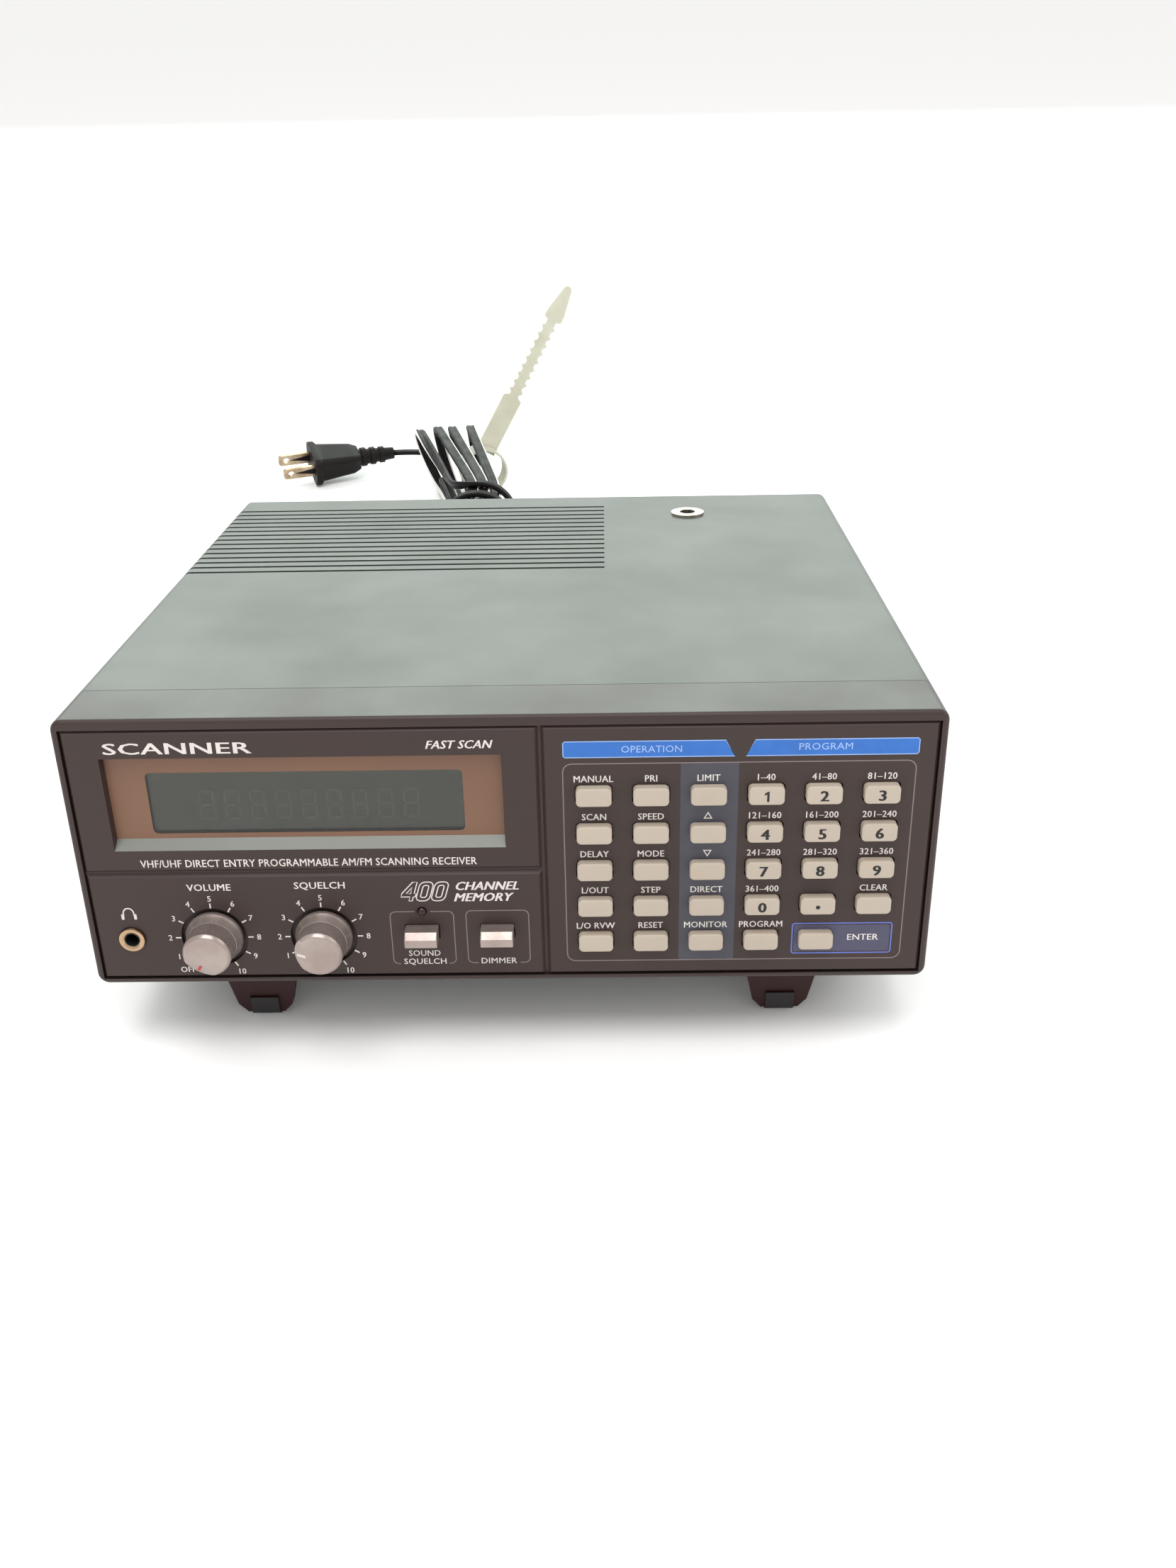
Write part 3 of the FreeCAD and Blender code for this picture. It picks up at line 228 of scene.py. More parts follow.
def finish(name, colour, roughness=0.5, metallic=0.0, **sockets):
    """A Principled material on its own, with a texture coordinate node to build on."""
    material = bpy.data.materials.new(name)
    material.use_nodes = True
    tree = material.node_tree
    shader = tree.nodes["Principled BSDF"]
    shader.inputs["Base Color"].default_value = colour
    shader.inputs["Roughness"].default_value = roughness
    shader.inputs["Metallic"].default_value = metallic
    for socket, value in sockets.items():
        shader.inputs[socket.replace("_", " ")].default_value = value
    add(tree, "ShaderNodeTexCoord").name = "place"
    material.diffuse_color = colour
    return material


def shader_of(material):
    return material.node_tree.nodes["Principled BSDF"]


def noise(material, scale, detail=3.0, stretch=(1.0, 1.0, 1.0)):
    """Noise in object coordinates, stretched by a mapping; returns the noise node."""
    tree = material.node_tree
    mapping = add(tree, "ShaderNodeMapping", Scale=stretch)
    tree.links.new(tree.nodes["place"].outputs["Object"], mapping.inputs["Vector"])
    texture = add(tree, "ShaderNodeTexNoise", Scale=scale, Detail=detail, Roughness=0.55)
    tree.links.new(mapping.outputs["Vector"], texture.inputs["Vector"])
    return texture


def mottle(material, texture, low, high):
    """Colour from low to high as the texture goes from 0.35 to 0.65."""
    tree = material.node_tree
    ramp = add(tree, "ShaderNodeValToRGB")
    for stop, position, colour in zip(ramp.color_ramp.elements, (0.35, 0.65), (low, high)):
        stop.position = position
        stop.color = colour
    tree.links.new(texture.outputs[0], ramp.inputs["Fac"])
    tree.links.new(ramp.outputs["Color"], shader_of(material).inputs["Base Color"])


def gloss_range(material, texture, low, high):
    """Roughness from low to high as the texture goes from 0.3 to 0.7."""
    tree = material.node_tree
    spread = add(tree, "ShaderNodeMapRange", From_Min=0.3, From_Max=0.7, To_Min=low, To_Max=high)
    tree.links.new(texture.outputs[0], spread.inputs["Value"])
    tree.links.new(spread.outputs["Result"], shader_of(material).inputs["Roughness"])


def bump(material, texture, height_mm, strength=0.6):
    """Bump of the texture's own height in millimetres, on top of any bump already there."""
    tree = material.node_tree
    node = add(tree, "ShaderNodeBump", Strength=strength, Distance=height_mm * MM)
    normal = shader_of(material).inputs["Normal"]
    if normal.is_linked:
        tree.links.new(normal.links[0].from_socket, node.inputs["Normal"])
    tree.links.new(texture.outputs[0], node.inputs["Height"])
    tree.links.new(node.outputs["Normal"], normal)


def surfaced(name, colour, roughness, metallic=0.0, tone=None, gloss=None, relief=None,
             **sockets):
    """A finish with up to three noises: each has its scale and detail, then its own two ends.

    tone runs between two colours, gloss between two roughnesses, and relief is a height in
    millimetres with a strength.
    """
    material = finish(name, colour, roughness, metallic, **sockets)
    for effect, values in ((mottle, tone), (gloss_range, gloss), (bump, relief)):
        if values:
            scale, detail, *ends = values
            effect(material, noise(material, scale, detail), *ends)
    return material


def shade(colour, factor):
    """A colour made lighter or darker by a factor."""
    return (*(min(1.0, channel * factor) for channel in colour[:3]), 1.0)


def moulded(name, colour, roughness, grain_mm=0.35, grain_height=0.02, spread=0.12, **sockets):
    """Moulded plastic: grain of one size as bump, broad patches in colour and gloss."""
    material = finish(name, colour, roughness, **sockets)
    broad = noise(material, 28.0, 4.0)
    mottle(material, broad, shade(colour, 1.0 - spread), shade(colour, 1.0 + spread))
    gloss_range(material, broad, roughness - 0.05, roughness + 0.06)
    bump(material, noise(material, 1.0 / (grain_mm * MM), 2.0), grain_height)
    return material


def paint(piece, *materials):
    """Give a piece its materials, in slot order."""
    piece.data.materials.clear()
    for material in materials:
        piece.data.materials.append(material)
    return piece


def paint_where(piece, material, chosen):
    """One more material on the faces whose centres, in case millimetres, pass the test."""
    mesh = piece.data
    centres = np.empty(len(mesh.polygons) * 3)
    mesh.polygons.foreach_get("center", centres)
    centres = (centres.reshape(-1, 3) - CORNER) @ CASE.T / MM
    slots = np.empty(len(mesh.polygons), np.int32)
    mesh.polygons.foreach_get("material_index", slots)
    slots[chosen(centres)] = len(mesh.materials)
    mesh.materials.append(material)
    mesh.polygons.foreach_set("material_index", slots)
    return piece


def within(low, high):
    """A test for paint_where: true for centres between two corners."""
    return lambda centre: ((centre > low) & (centre < high)).all(axis=1)


print("finish helpers ready")

# %% [markdown]
# ## The mains cord
# A mains cord is one fixed length of something springy, so one smooth line runs all the way:
# out of the back, along the table, through every fold of the hank, and on to the plug. A
# Bezier curve needs handles at every point. A NURBS curve needs only points that it is drawn
# towards, like a cord round pegs, and it never kinks. The folds stand on edge. They are pinched
# at a waist, where the cord itself is wound round them twice, and fan out behind it.

# %% The cord's line
CORD_WIDE = 5.2
CORD_THICK = 2.7
LEAD_ROUTE = [(-83.9, 134.5, 15.6), (-82.0, 151.0, 9.5), (-77.0, 167.0, 4.0),
              (-68.0, 183.0, 1.8), (-57.5, 197.0, 1.8), (-50.5, 211.0, 4.0),
              (-46.8, 226.0, 9.5)]
TAIL_ROUTE = [(-62.0, 362.0, 6.5), (-66.5, 375.0, 9.5), (-77.0, 380.5, 11.0),
              (-93.0, 378.2, 11.0)]
WAIST = np.array([-33.5, 244.0, 18.6])
PINCH = np.array([0.0, 12.0, 0.0])
WRAP = 17.5
FOLD = 17.2
FOLD_POINTS = 7


def half_turn(centre, reach, ahead, lean, first):
    """Half a turn on edge: centre + reach * (cos a * ahead + sin a * rise), a from first on."""
    ahead = np.array([*ahead, 0.0]) / math.hypot(*ahead)
    rise = np.array([lean, 0.0, math.sqrt(1.0 - lean * lean)])
    angle = np.radians(first + np.linspace(0.0, 180.0, FOLD_POINTS))[:, None]
    return np.array(centre) + reach * (np.cos(angle) * ahead + np.sin(angle) * rise)


def strand(near, far):
    """Points on a strand: both ends of the pinched waist, then two on the straight way to far."""
    inside = WAIST + [near[0], 0.0, near[1]]
    way = inside + PINCH
    share = np.array([0.0, 0.4, 0.75])[:, None]
    return np.concatenate([[inside - PINCH], (1.0 - share) * way + share * far])


def hank_turn(low, high, far, reach, lean, near, near_lean):
    """Out along the bottom, round the far end, back along the top and round the near end."""
    ahead = (far[0] - WAIST[0], far[1] - WAIST[1])
    away = half_turn(far, reach, ahead, lean, -90.0)
    home = half_turn(near, FOLD, (0.0, 1.0), near_lean, 90.0)
    return [strand(low, away[0]), away, strand(high, away[-1])[::-1], home]


def wraps():
    """Round the waist as a helix: (r sin t, 16 mm nearer in the first turn, r cos t)."""
    angle = np.radians(np.arange(15.0, 546.0, 29.5))
    along = np.interp(angle, [0.0, 2.0 * math.pi], [252.0, 236.0])
    return np.stack([WAIST[0] + WRAP * np.sin(angle), along,
                     WAIST[2] + WRAP * np.cos(angle)], axis=-1)


exit_point = (-83.98, 117.67, 18.03)
turn_d = hank_turn((-12.3, -4.6), (-12.3, 4.6), (-50.0, 284.0, 18.0), 9.0, -0.40,
                   (-36.0, 212.0, 17.5), -0.62)
turn_f = hank_turn((7.8, -10.8), (7.8, 11.2), (-43.0, 340.0, 18.9), FOLD, -0.10,
                   (-28.3, 215.5, 20.8), 0.157)
turn_c = hank_turn((2.6, -12.0), (2.6, 13.4), (-50.5, 337.0, 19.6), FOLD, -0.20,
                   (-33.5, 217.0, 20.6), 0.157)
turn_b = hank_turn((-2.6, -12.0), (-2.6, 13.4), (-58.0, 338.5, 19.2), FOLD, -0.20,
                   (-38.7, 215.8, 20.9), 0.157)
turn_a = [*hank_turn((-7.8, -10.8), (-7.8, 10.8), (-66.0, 336.0, 18.9), FOLD, -0.30,
                     (-38.7, 217.0, 20.8), 0.157)[:2],
          [(-65.0, 317.0, 33.5), (-57.0, 294.0, 31.0), (-50.8, 274.0, 30.0),
           (-47.0, 261.0, 31.0), (-39.5, 253.5, 34.2)]]
return_strand = [(-45.0, 237.2, 1.7), (-51.8, 242.3, 1.7), (-55.0, 250.5, 1.7),
                 (-55.6, 272.0, 1.7), (-56.0, 300.0, 1.7), (-58.0, 331.0, 1.8),
                 (-60.0, 350.0, 3.0)]
cord_points = np.concatenate([[exit_point], LEAD_ROUTE, *turn_d, *turn_f, *turn_c, *turn_b,
                              *turn_a, wraps(), return_strand, TAIL_ROUTE]) * MM
line = bpy.data.curves.new("cord_line", "CURVE")
line.dimensions = "3D"
spline = line.splines.new("NURBS")
spline.points.add(len(cord_points) - 1)
spline.points.foreach_set("co", np.hstack([cord_points, np.ones((len(cord_points), 1))]).ravel())
spline.order_u = 3
spline.use_endpoint_u = True
spline.resolution_u = 6
line_object = bpy.data.objects.new("cord_line", line)
line_mesh = bpy.data.meshes.new_from_object(line_object)
cord_path = np.empty(len(line_mesh.vertices) * 3)
line_mesh.vertices.foreach_get("co", cord_path)
cord_path = cord_path.reshape(-1, 3)
bpy.data.objects.remove(line_object)
bpy.data.meshes.remove(line_mesh)
steps = np.linalg.norm(np.diff(cord_path, axis=0), axis=1)
cord_length = float(steps.sum())
print("cord points", len(cord_points), "path", len(cord_path), "length", round(cord_length, 3))

# %% [markdown]
# ## The cord's skin
# Lamp cord is two insulated wires moulded side by side, so its section is a flat figure of
# eight. A curve's bevel is round, and a curve's own twist can't be told where to lie flat. So
# the section is carried along the line as a grid, and its wide side is aimed: across the folds,
# along the winding at the waist, and level on the table. A white stripe runs along the outer
# edge of one wire. The skin's own UV map paints it: u goes round the section and v along the cord.

# %% The cord's skin
def nearest(point):
    """Index of the path point nearest to a point in millimetres."""
    return int(np.argmin(np.linalg.norm(cord_path - np.array(point) * MM, axis=1)))


def unit(vectors):
    return vectors / np.linalg.norm(vectors, axis=-1, keepdims=True)


def cord_frames(path):
    """Wide side and face of the cord: the aimed side, less its part along the line."""
    along = unit(np.gradient(path, axis=0))
    index = np.arange(len(path))
    wound = nearest((-52.0, 280.0, 30.3)), nearest((-30.0, 251.5, 36.0))
    laid = nearest((-33.5, 236.0, 1.2)), nearest((-40.0, 236.0, 1.5))
    winding = np.interp(index, wound, [0.0, 1.0])[:, None]
    level = np.interp(index, laid, [0.0, 1.0])[:, None]
    aim = (1.0 - winding) * RIGHT + winding * np.array([0.0, 1.0, 0.0])
    aim = (1.0 - level) * aim + level * np.cross(along, [0.0, 0.0, 1.0])
    wide = unit(aim - along * np.sum(aim * along, axis=1)[:, None])
    face = np.cross(along, wide)
    twist = np.interp(index, [nearest((-36.0, 244.0, 32.0)), nearest((-41.0, 244.0, 7.0)),
                              nearest((-70.0, 340.0, 35.5)), wound[1]],
                      [0.0, math.pi, math.pi, 2.0 * math.pi])[:, None]
    return (np.cos(twist) * wide + np.sin(twist) * face,
            np.cos(twist) * face - np.sin(twist) * wide)


def cord_section(count):
    """Two lobes: x = w cos t, y = h sin t / |sin t| ** 0.4, with a groove where x is small."""
    turn = 2.0 * math.pi * np.arange(count) / count
    across = CORD_WIDE / 2 * np.cos(turn)
    up = CORD_THICK / 2 * np.sign(np.sin(turn)) * np.abs(np.sin(turn)) ** 0.6
    return across, up * (1.0 - 0.34 * np.exp(-(across / 0.55) ** 2))


def set_grid_uv(mesh, rows, columns, heights):
    """UV on a ring grid's quads: u from 0 to 1 round the ring, v from each row's height."""
    row, column = np.meshgrid(np.arange(rows - 1), np.arange(columns), indexing="ij")
    turns = np.stack([column, column + 1, column + 1, column], axis=-1) / columns
    levels = heights[np.stack([row, row, row + 1, row + 1], axis=-1)]
    uv = np.stack([turns, levels], axis=-1).reshape(-1, 2)
    layer = mesh.uv_layers.new(name="skin")
    flat = np.zeros(len(mesh.loops) * 2)
    flat[:uv.size] = uv.ravel()
    layer.data.foreach_set("uv", flat)


wide, face = cord_frames(cord_path)
across, up = cord_section(28)
rings = (cord_path[:, None, :] + MM * (across[None, :, None] * wide[:, None, :]
                                       + up[None, :, None] * face[:, None, :]))
rows, columns = rings.shape[:2]
cord_faces = [list(map(int, quad[::-1])) for quad in grid_faces(rows, columns)]
cord_faces += [list(range(columns)), [(rows - 1) * columns + i for i in range(columns)][::-1]]
cord = link_mesh("mains_cord", rings.reshape(-1, 3), cord_faces, smooth=ANY_ANGLE)
travel = np.concatenate([[0.0], np.cumsum(steps)])
set_grid_uv(cord.data, rows, columns, travel)
stand_for(cord, "power_cord_lead", "cord_hank", "power_cord_tail")
print("cord skin", len(cord_faces), "faces")

# %% [markdown]
# The black vinyl is smooth, with the faint ripple that extrusion leaves across it.

# %% Finish the cord
CORD_BLACK = srgb(17, 15, 16)
CORD_WHITE = srgb(228, 226, 220)
STRIPE = 0.13
vinyl = surfaced("cord_vinyl", CORD_BLACK, 0.50, gloss=(160.0, 4.0, 0.36, 0.54),
                 relief=(900.0, 2.0, 0.03, 0.4), Specular_IOR_Level=0.12)
skin_map = add(vinyl.node_tree, "ShaderNodeUVMap", set_uv_map="skin")
skin_parts = add(vinyl.node_tree, "ShaderNodeSeparateXYZ")
vinyl.node_tree.links.new(skin_map.outputs["UV"], skin_parts.inputs["Vector"])
stripe = add(vinyl.node_tree, "ShaderNodeValToRGB")
stripe.color_ramp.interpolation = "CONSTANT"
stripe.color_ramp.elements[0].color = CORD_WHITE
stripe.color_ramp.elements[1].position = STRIPE
stripe.color_ramp.elements[1].color = CORD_BLACK
stripe.color_ramp.elements.new(1.0 - STRIPE).color = CORD_WHITE
vinyl.node_tree.links.new(skin_parts.outputs["X"], stripe.inputs["Fac"])
vinyl.node_tree.links.new(stripe.outputs["Color"], shader_of(vinyl).inputs["Base Color"])
paint(cord, vinyl)
print("cord declared, tightest wrap radius", WRAP, "mm")

# %% [markdown]
# ## The moulded case
# Housings like this are painted or grained so that they don't show fingerprints. Three dark
# coats are enough: a warm panel, a cooler frame round it, and a case whose satin coat picks up
# light from above. Each is one material with its own grain size, and copies of the solid
# pieces carry them, shaded smooth over the rounded edges. The window's sill is polished, and its
# coat is much paler than the panel's: a painted sheen, so it shows as one pale strip under
# the display.

# %% Case finishes
case_coat = moulded("case_satin", srgb(60, 65, 60), 0.40, 0.30, 0.012, 0.05)
frame_coat = moulded("frame_plastic", srgb(43, 36, 34), 0.38, 0.35, 0.012, 0.06)
panel_coat = moulded("panel_plastic", srgb(53, 39, 36), 0.48, 0.25, 0.010, 0.05,
                     Specular_IOR_Level=0.38)
shells = {node: paint(clean_copy(node), material)
          for node, material in (("top_cover", case_coat), ("bottom_case", case_coat),
                                 ("front_bezel", frame_coat), ("front_panel", panel_coat))}
RIM_DEPTH = 0.9
paint_where(shells["front_bezel"], panel_coat, lambda centre: centre[:, 1] < RIM_DEPTH)
# Painted sheen: the sill's pale grey-green base stands in for light off its polish; the lower
# roughness is the real polish.
sill_sheen_coat = moulded("sill_painted_sheen", srgb(106, 108, 100), 0.34, 0.25, 0.006, 0.04)
paint_where(shells["front_panel"], sill_sheen_coat, within((-97.9, 0.02, 39.5), (0.7, 2.48, 42.1)))


def case_box(node):
    """Lowest and highest corner of a node in case millimetres."""
    points = (node_arrays(node)[0] - CORNER) @ CASE.T / MM
    return points.min(axis=0), points.max(axis=0)


def middle_of(node):
    """The middle of a node as it is seen from the front: right and up, in case millimetres."""
    low, high = case_box(node)
    return (low[0] + high[0]) / 2, (low[2] + high[2]) / 2


print("panel from and to", *(corner.round(2) for corner in case_box("front_panel")))

# %% [markdown]
# ## Printing on the panel
# The words and numbers are screen printed, so they are flat, sharp and slightly raised. A
# picture texture would blur close up. Blender's text objects give true outlines, and turning
# them into a mesh lets numpy scale each word to its printed height and width. Every word is
# a plain one that says what its control does.

# %% Lettering
INK = 0.03


def letters(words, height, width=None, slant=0.0, wide=1.0):
    """Words as (points, faces): x right, y up, z out in mm, centred, capitals height tall."""
    text = bpy.data.curves.new("words", "FONT")
    text.body = words
    text.shear = slant
    text.space_character = 1.04
    text.resolution_u = 2
    text.extrude = 0.01
    holder = bpy.data.objects.new("words", text)
    mesh = bpy.data.meshes.new_from_object(holder)
    points = np.empty(len(mesh.vertices) * 3)
    mesh.vertices.foreach_get("co", points)
    points = points.reshape(-1, 3)
    faces = [list(face.vertices) for face in mesh.polygons]
    bpy.data.objects.remove(holder)
    bpy.data.curves.remove(text)
    bpy.data.meshes.remove(mesh)
    points[:, 0] -= (points[:, 0].min() + points[:, 0].max()) / 2
    tall = height / CAPITAL
    points[:, 1] = points[:, 1] * tall - height / 2
    span = np.ptp(points[:, 0])
    points[:, 0] *= width / span if width else tall * wide
    points[:, 2] = np.sign(points[:, 2]) * INK
    return points, faces


def capital_height():
    """Height of a capital letter when the text size is 1."""
    text = bpy.data.curves.new("words", "FONT")
    text.body = "H"
    holder = bpy.data.objects.new("words", text)
    mesh = bpy.data.meshes.new_from_object(holder)
    tall = max(point.co.y for point in mesh.vertices)
    bpy.data.objects.remove(holder)
    bpy.data.meshes.remove(mesh)
    return tall


CAPITAL = capital_height()


def heavier(shape, spread):
    """Three copies side by side, spread apart and each a hair further out: a bolder stroke."""
    points, faces = shape
    return join_parts([(points + [step * spread, 0.0, 0.002 * step], faces)
                       for step in (-1, 0, 1)])


def printed(shape, x, z, surface=0.0):
    """A flat shape on the panel at (x, z): right, then into the case, then up."""
    points, faces = shape
    placed = np.stack([x + points[:, 0], surface - points[:, 2], z + points[:, 1]], axis=-1)
    return on_case(placed), faces


def print_on(name, body, material, shapes):
    """One object from many printed shapes."""
    points, faces = join_parts(shapes)
    return paint(link_mesh(name, points, faces, body), material)


print("capital height", round(CAPITAL, 4))

# %% [markdown]
# Thin frames group the controls. Each is a rounded rectangle followed by a flat bar. Where a
# word or lamp interrupts a frame, the points inside that gap are dropped and the rest is drawn
# as separate bars.

# %% Printed lines
def rounded_path(low_x, high_x, low_z, high_z, corner, step=0.4):
    """A rounded rectangle, anticlockwise from its lower left: straight sides and corner arcs."""
    arc = np.radians(np.linspace(0.0, 90.0, 7))[:, None]
    spots = ((high_x - corner, low_z + corner, -90), (high_x - corner, high_z - corner, 0),
             (low_x + corner, high_z - corner, 90), (low_x + corner, low_z + corner, 180))
    arcs = [np.hstack([x + corner * np.cos(arc + math.radians(a)),
                       z + corner * np.sin(arc + math.radians(a))]) for x, z, a in spots]
    sides = []
    for bend, following in zip(arcs, arcs[1:] + arcs[:1]):
        count = max(2, int(np.linalg.norm(following[0] - bend[-1]) / step))
        share = np.linspace(0.0, 1.0, count + 1)[1:-1, None]
        sides += [bend, bend[-1] + share * (following[0] - bend[-1])]
    return np.concatenate(sides)


def bar_along(path, width, closed):
    """A flat bar: path points moved half a width to each side, at the front and at the back."""
    if closed:
        way = unit(np.roll(path, -1, axis=0) - np.roll(path, 1, axis=0))
    else:
        way = unit(np.gradient(path, axis=0))
    side = np.stack([way[:, 1], -way[:, 0]], axis=-1) * width / 2
    front, back = np.full((len(path), 1), INK), np.full((len(path), 1), -INK)
    ring = np.stack([np.hstack([path + side, front]), np.hstack([path - side, front]),
                     np.hstack([path - side, back]), np.hstack([path + side, back])], axis=1)
    if closed:
        ring = np.concatenate([ring, ring[:1]])
    count = len(ring)
    faces = [list(quad) for quad in grid_faces(count, 4)[:, ::-1]]
    if closed:
        faces = [[index % (4 * count - 4) for index in face] for face in faces]
        return ring[:-1].reshape(-1, 3), faces
    faces += [[0, 1, 2, 3], [4 * count - 1, 4 * count - 2, 4 * count - 3, 4 * count - 4]]
    return ring.reshape(-1, 3), faces


def broken_frame(path, gaps, width):
    """Bars along a closed path that skip each gap, given as (low x, high x, low z, high z)."""
    inside = np.zeros(len(path), bool)
    for low_x, high_x, low_z, high_z in gaps:
        inside |= ((path[:, 0] > low_x) & (path[:, 0] < high_x)
                   & (path[:, 1] > low_z) & (path[:, 1] < high_z))
    first = int(np.argmax(inside))
    turned, hidden = np.roll(path, -first, axis=0), np.roll(inside, -first)
    runs = np.split(np.arange(len(path)), np.where(np.diff(hidden))[0] + 1)
    return [bar_along(turned[run], width, False) for run in runs if not hidden[run[0]]]


def plate(outline):
    """A flat plate with the given outline: a front face, a back face and a wall between."""
    count = len(outline)
    front, back = np.full((count, 1), INK), np.full((count, 1), -INK)
    points = np.concatenate([np.hstack([outline, front]), np.hstack([outline, back])])
    here, beside = np.arange(count), (np.arange(count) + 1) % count
    walls = np.stack([here, here + count, beside + count, beside], axis=-1)
    return points, [list(range(count)), list(range(2 * count - 1, count - 1, -1)),
                    *[list(wall) for wall in walls]]


keypad_frame = rounded_path(15.3, 101.3, 5.9, 62.3, 2.2)
print("keypad frame points", len(keypad_frame))

# %% [markdown]
# The inks are matt and a little uneven, as they are laid through a mesh. White is used for
# words, grey for frames, and blue for the two bars over the keypad. Behind the second group
# of keys lies a slate stripe.

# %% Inks
def ink(name, colour):
    """Screen ink: matt, with a fine weave of thickness and a slight change of tone."""
    return surfaced(name, colour, 0.55, tone=(220.0, 3.0, shade(colour, 0.90), colour),
                    relief=(3200.0, 1.0, 0.01, 0.3))


white_ink = ink("white_ink", srgb(214, 208, 202))
grey_ink = ink("grey_ink", srgb(122, 108, 108))
blue_ink = ink("blue_ink", srgb(40, 104, 186))
slate_ink = ink("slate_ink", srgb(64, 63, 72))
black_ink = ink("black_ink", srgb(14, 12, 13))
red_ink = ink("red_ink", srgb(176, 40, 30))

KEY_WORDS = {
    "key_manual": "MANUAL", "key_scan": "SCAN", "key_delay": "DELAY", "key_lockout": "L/OUT",
    "key_lockout_review": "L/O RVW", "key_priority": "PRI", "key_speed": "SPEED",
    "key_mode": "MODE", "key_step": "STEP", "key_reset": "RESET", "key_limit": "LIMIT",
    "key_direct": "DIRECT", "key_monitor": "MONITOR", "key_1": "1–40", "key_4": "121–160",
    "key_7": "241–280", "key_0": "361–400", "key_program": "PROGRAM", "key_2": "41–80",
    "key_5": "161–200", "key_8": "281–320", "key_3": "81–120", "key_6": "201–240",
    "key_9": "321–360", "key_clear": "CLEAR"}
WORD_LIFT, SIGN_LIFT = 4.25, 4.3
white_words = []
for node, words in KEY_WORDS.items():
    x, z = middle_of(node)
    white_words.append(printed(heavier(letters(words, 1.72, wide=0.93), 0.035), x,
                               z + WORD_LIFT))
for node, hand in (("key_up", 1.0), ("key_down", -1.0)):
    x, z = middle_of(node)
    triangle = np.array([(-0.9, -0.7 * hand), (0.9, -0.7 * hand), (0.0, 0.85 * hand)])
    outline = triangle if hand > 0 else triangle[::-1]
    white_words.append(printed(bar_along(outline, 0.5, True), x, z + SIGN_LIFT))
for words, x, z, size, width, spread, slant in (
        ("SCANNER", -78.2, 67.7, 2.9, 36.0, 0.16, 0.0),
        ("FAST SCAN", -9.6, 67.9, 2.1, 16.3, 0.08, 0.3),
        ("VHF/UHF DIRECT ENTRY PROGRAMMABLE AM/FM SCANNING RECEIVER", -49.4, 35.9, 2.05, 85.0,
         0.03, 0.0),
        ("VOLUME", -75.6, 28.9, 1.9, 11.2, 0.045, 0.0),
        ("SQUELCH", -47.3, 29.2, 1.9, 12.9, 0.045, 0.0),
        ("CHANNEL", -4.6, 28.6, 2.35, 15.8, 0.12, 0.32),
        ("MEMORY", -5.6, 25.3, 2.35, 15.2, 0.12, 0.32),
        ("SOUND", -21.8, 8.7, 1.65, 8.2, 0.02, 0.0),
        ("SQUELCH", -21.8, 6.2, 1.65, 11.0, 0.02, 0.0),
        ("DIMMER", -2.5, 6.2, 1.65, 9.2, 0.02, 0.0),
        ("ENTER", 91.5, 12.3, 1.75, 7.9, 0.045, 0.0)):
    white_words.append(printed(heavier(letters(words, size, width, slant), spread), x, z))
print_on("white_words", "receiver", white_ink, white_words)

# %% [markdown]
# The memory count is drawn as hollow numerals. Each is a pair of closed lines, the outside of
# the stroke and its hole, and all of them lean by 0.3 of their height.

# %% Hollow numerals
FOUR = np.array([(0.5, -2.75), (1.35, -2.75), (1.35, -1.55), (1.85, -1.55), (1.85, -0.6),
                 (1.35, -0.6), (1.35, 2.75), (0.2, 2.75), (-1.8, -0.5), (-1.8, -1.55),
                 (0.5, -1.55)])
FOUR_HOLE = np.array([(0.45, -0.6), (0.45, 1.25), (-0.7, -0.6)])
NUMERAL_PITCH = 3.9
hollow_lines = [FOUR - [NUMERAL_PITCH, 0.0], FOUR_HOLE - [NUMERAL_PITCH, 0.0]]
for middle in (0.0, NUMERAL_PITCH):
    hollow_lines.append(rounded_path(middle - 1.75, middle + 1.75, -2.75, 2.75, 1.3))
    hollow_lines.append(rounded_path(middle - 0.75, middle + 0.75, -1.75, 1.75, 0.55))
leaning = np.array([[1.0, 0.0], [0.3, 1.0]])
print_on("hollow_numerals", "receiver", white_ink,
         [printed(bar_along(path @ leaning, 0.27, True), -20.6, 27.1) for path in hollow_lines])
print("white words", len(white_words), "hollow lines", len(hollow_lines))

# %% [markdown]
# Grey frames, two blue bars and a slate stripe sort the controls into groups. The hatching
# behind the ENTER key could be a picture, but bars stay sharp. Each runs along a line on which
# x + z keeps one value, so its two ends on the box come from adding and subtracting.

# %% Frames, bars and the hatched box
grey_lines = [bar_along(keypad_frame, 0.28, True)]
grey_lines += broken_frame(rounded_path(-30.0, -13.7, 5.5, 21.2, 1.4),
                           [(-23.6, -19.8, 20.0, 22.0), (-27.9, -15.7, 5.0, 6.5)], 0.25)
grey_lines += broken_frame(rounded_path(-10.5, 5.6, 5.6, 21.3, 1.4),
                           [(-7.7, 2.7, 5.0, 6.5)], 0.25)
print_on("grey_frames", "receiver", grey_ink, [printed(line, 0.0, 0.0) for line in grey_lines])

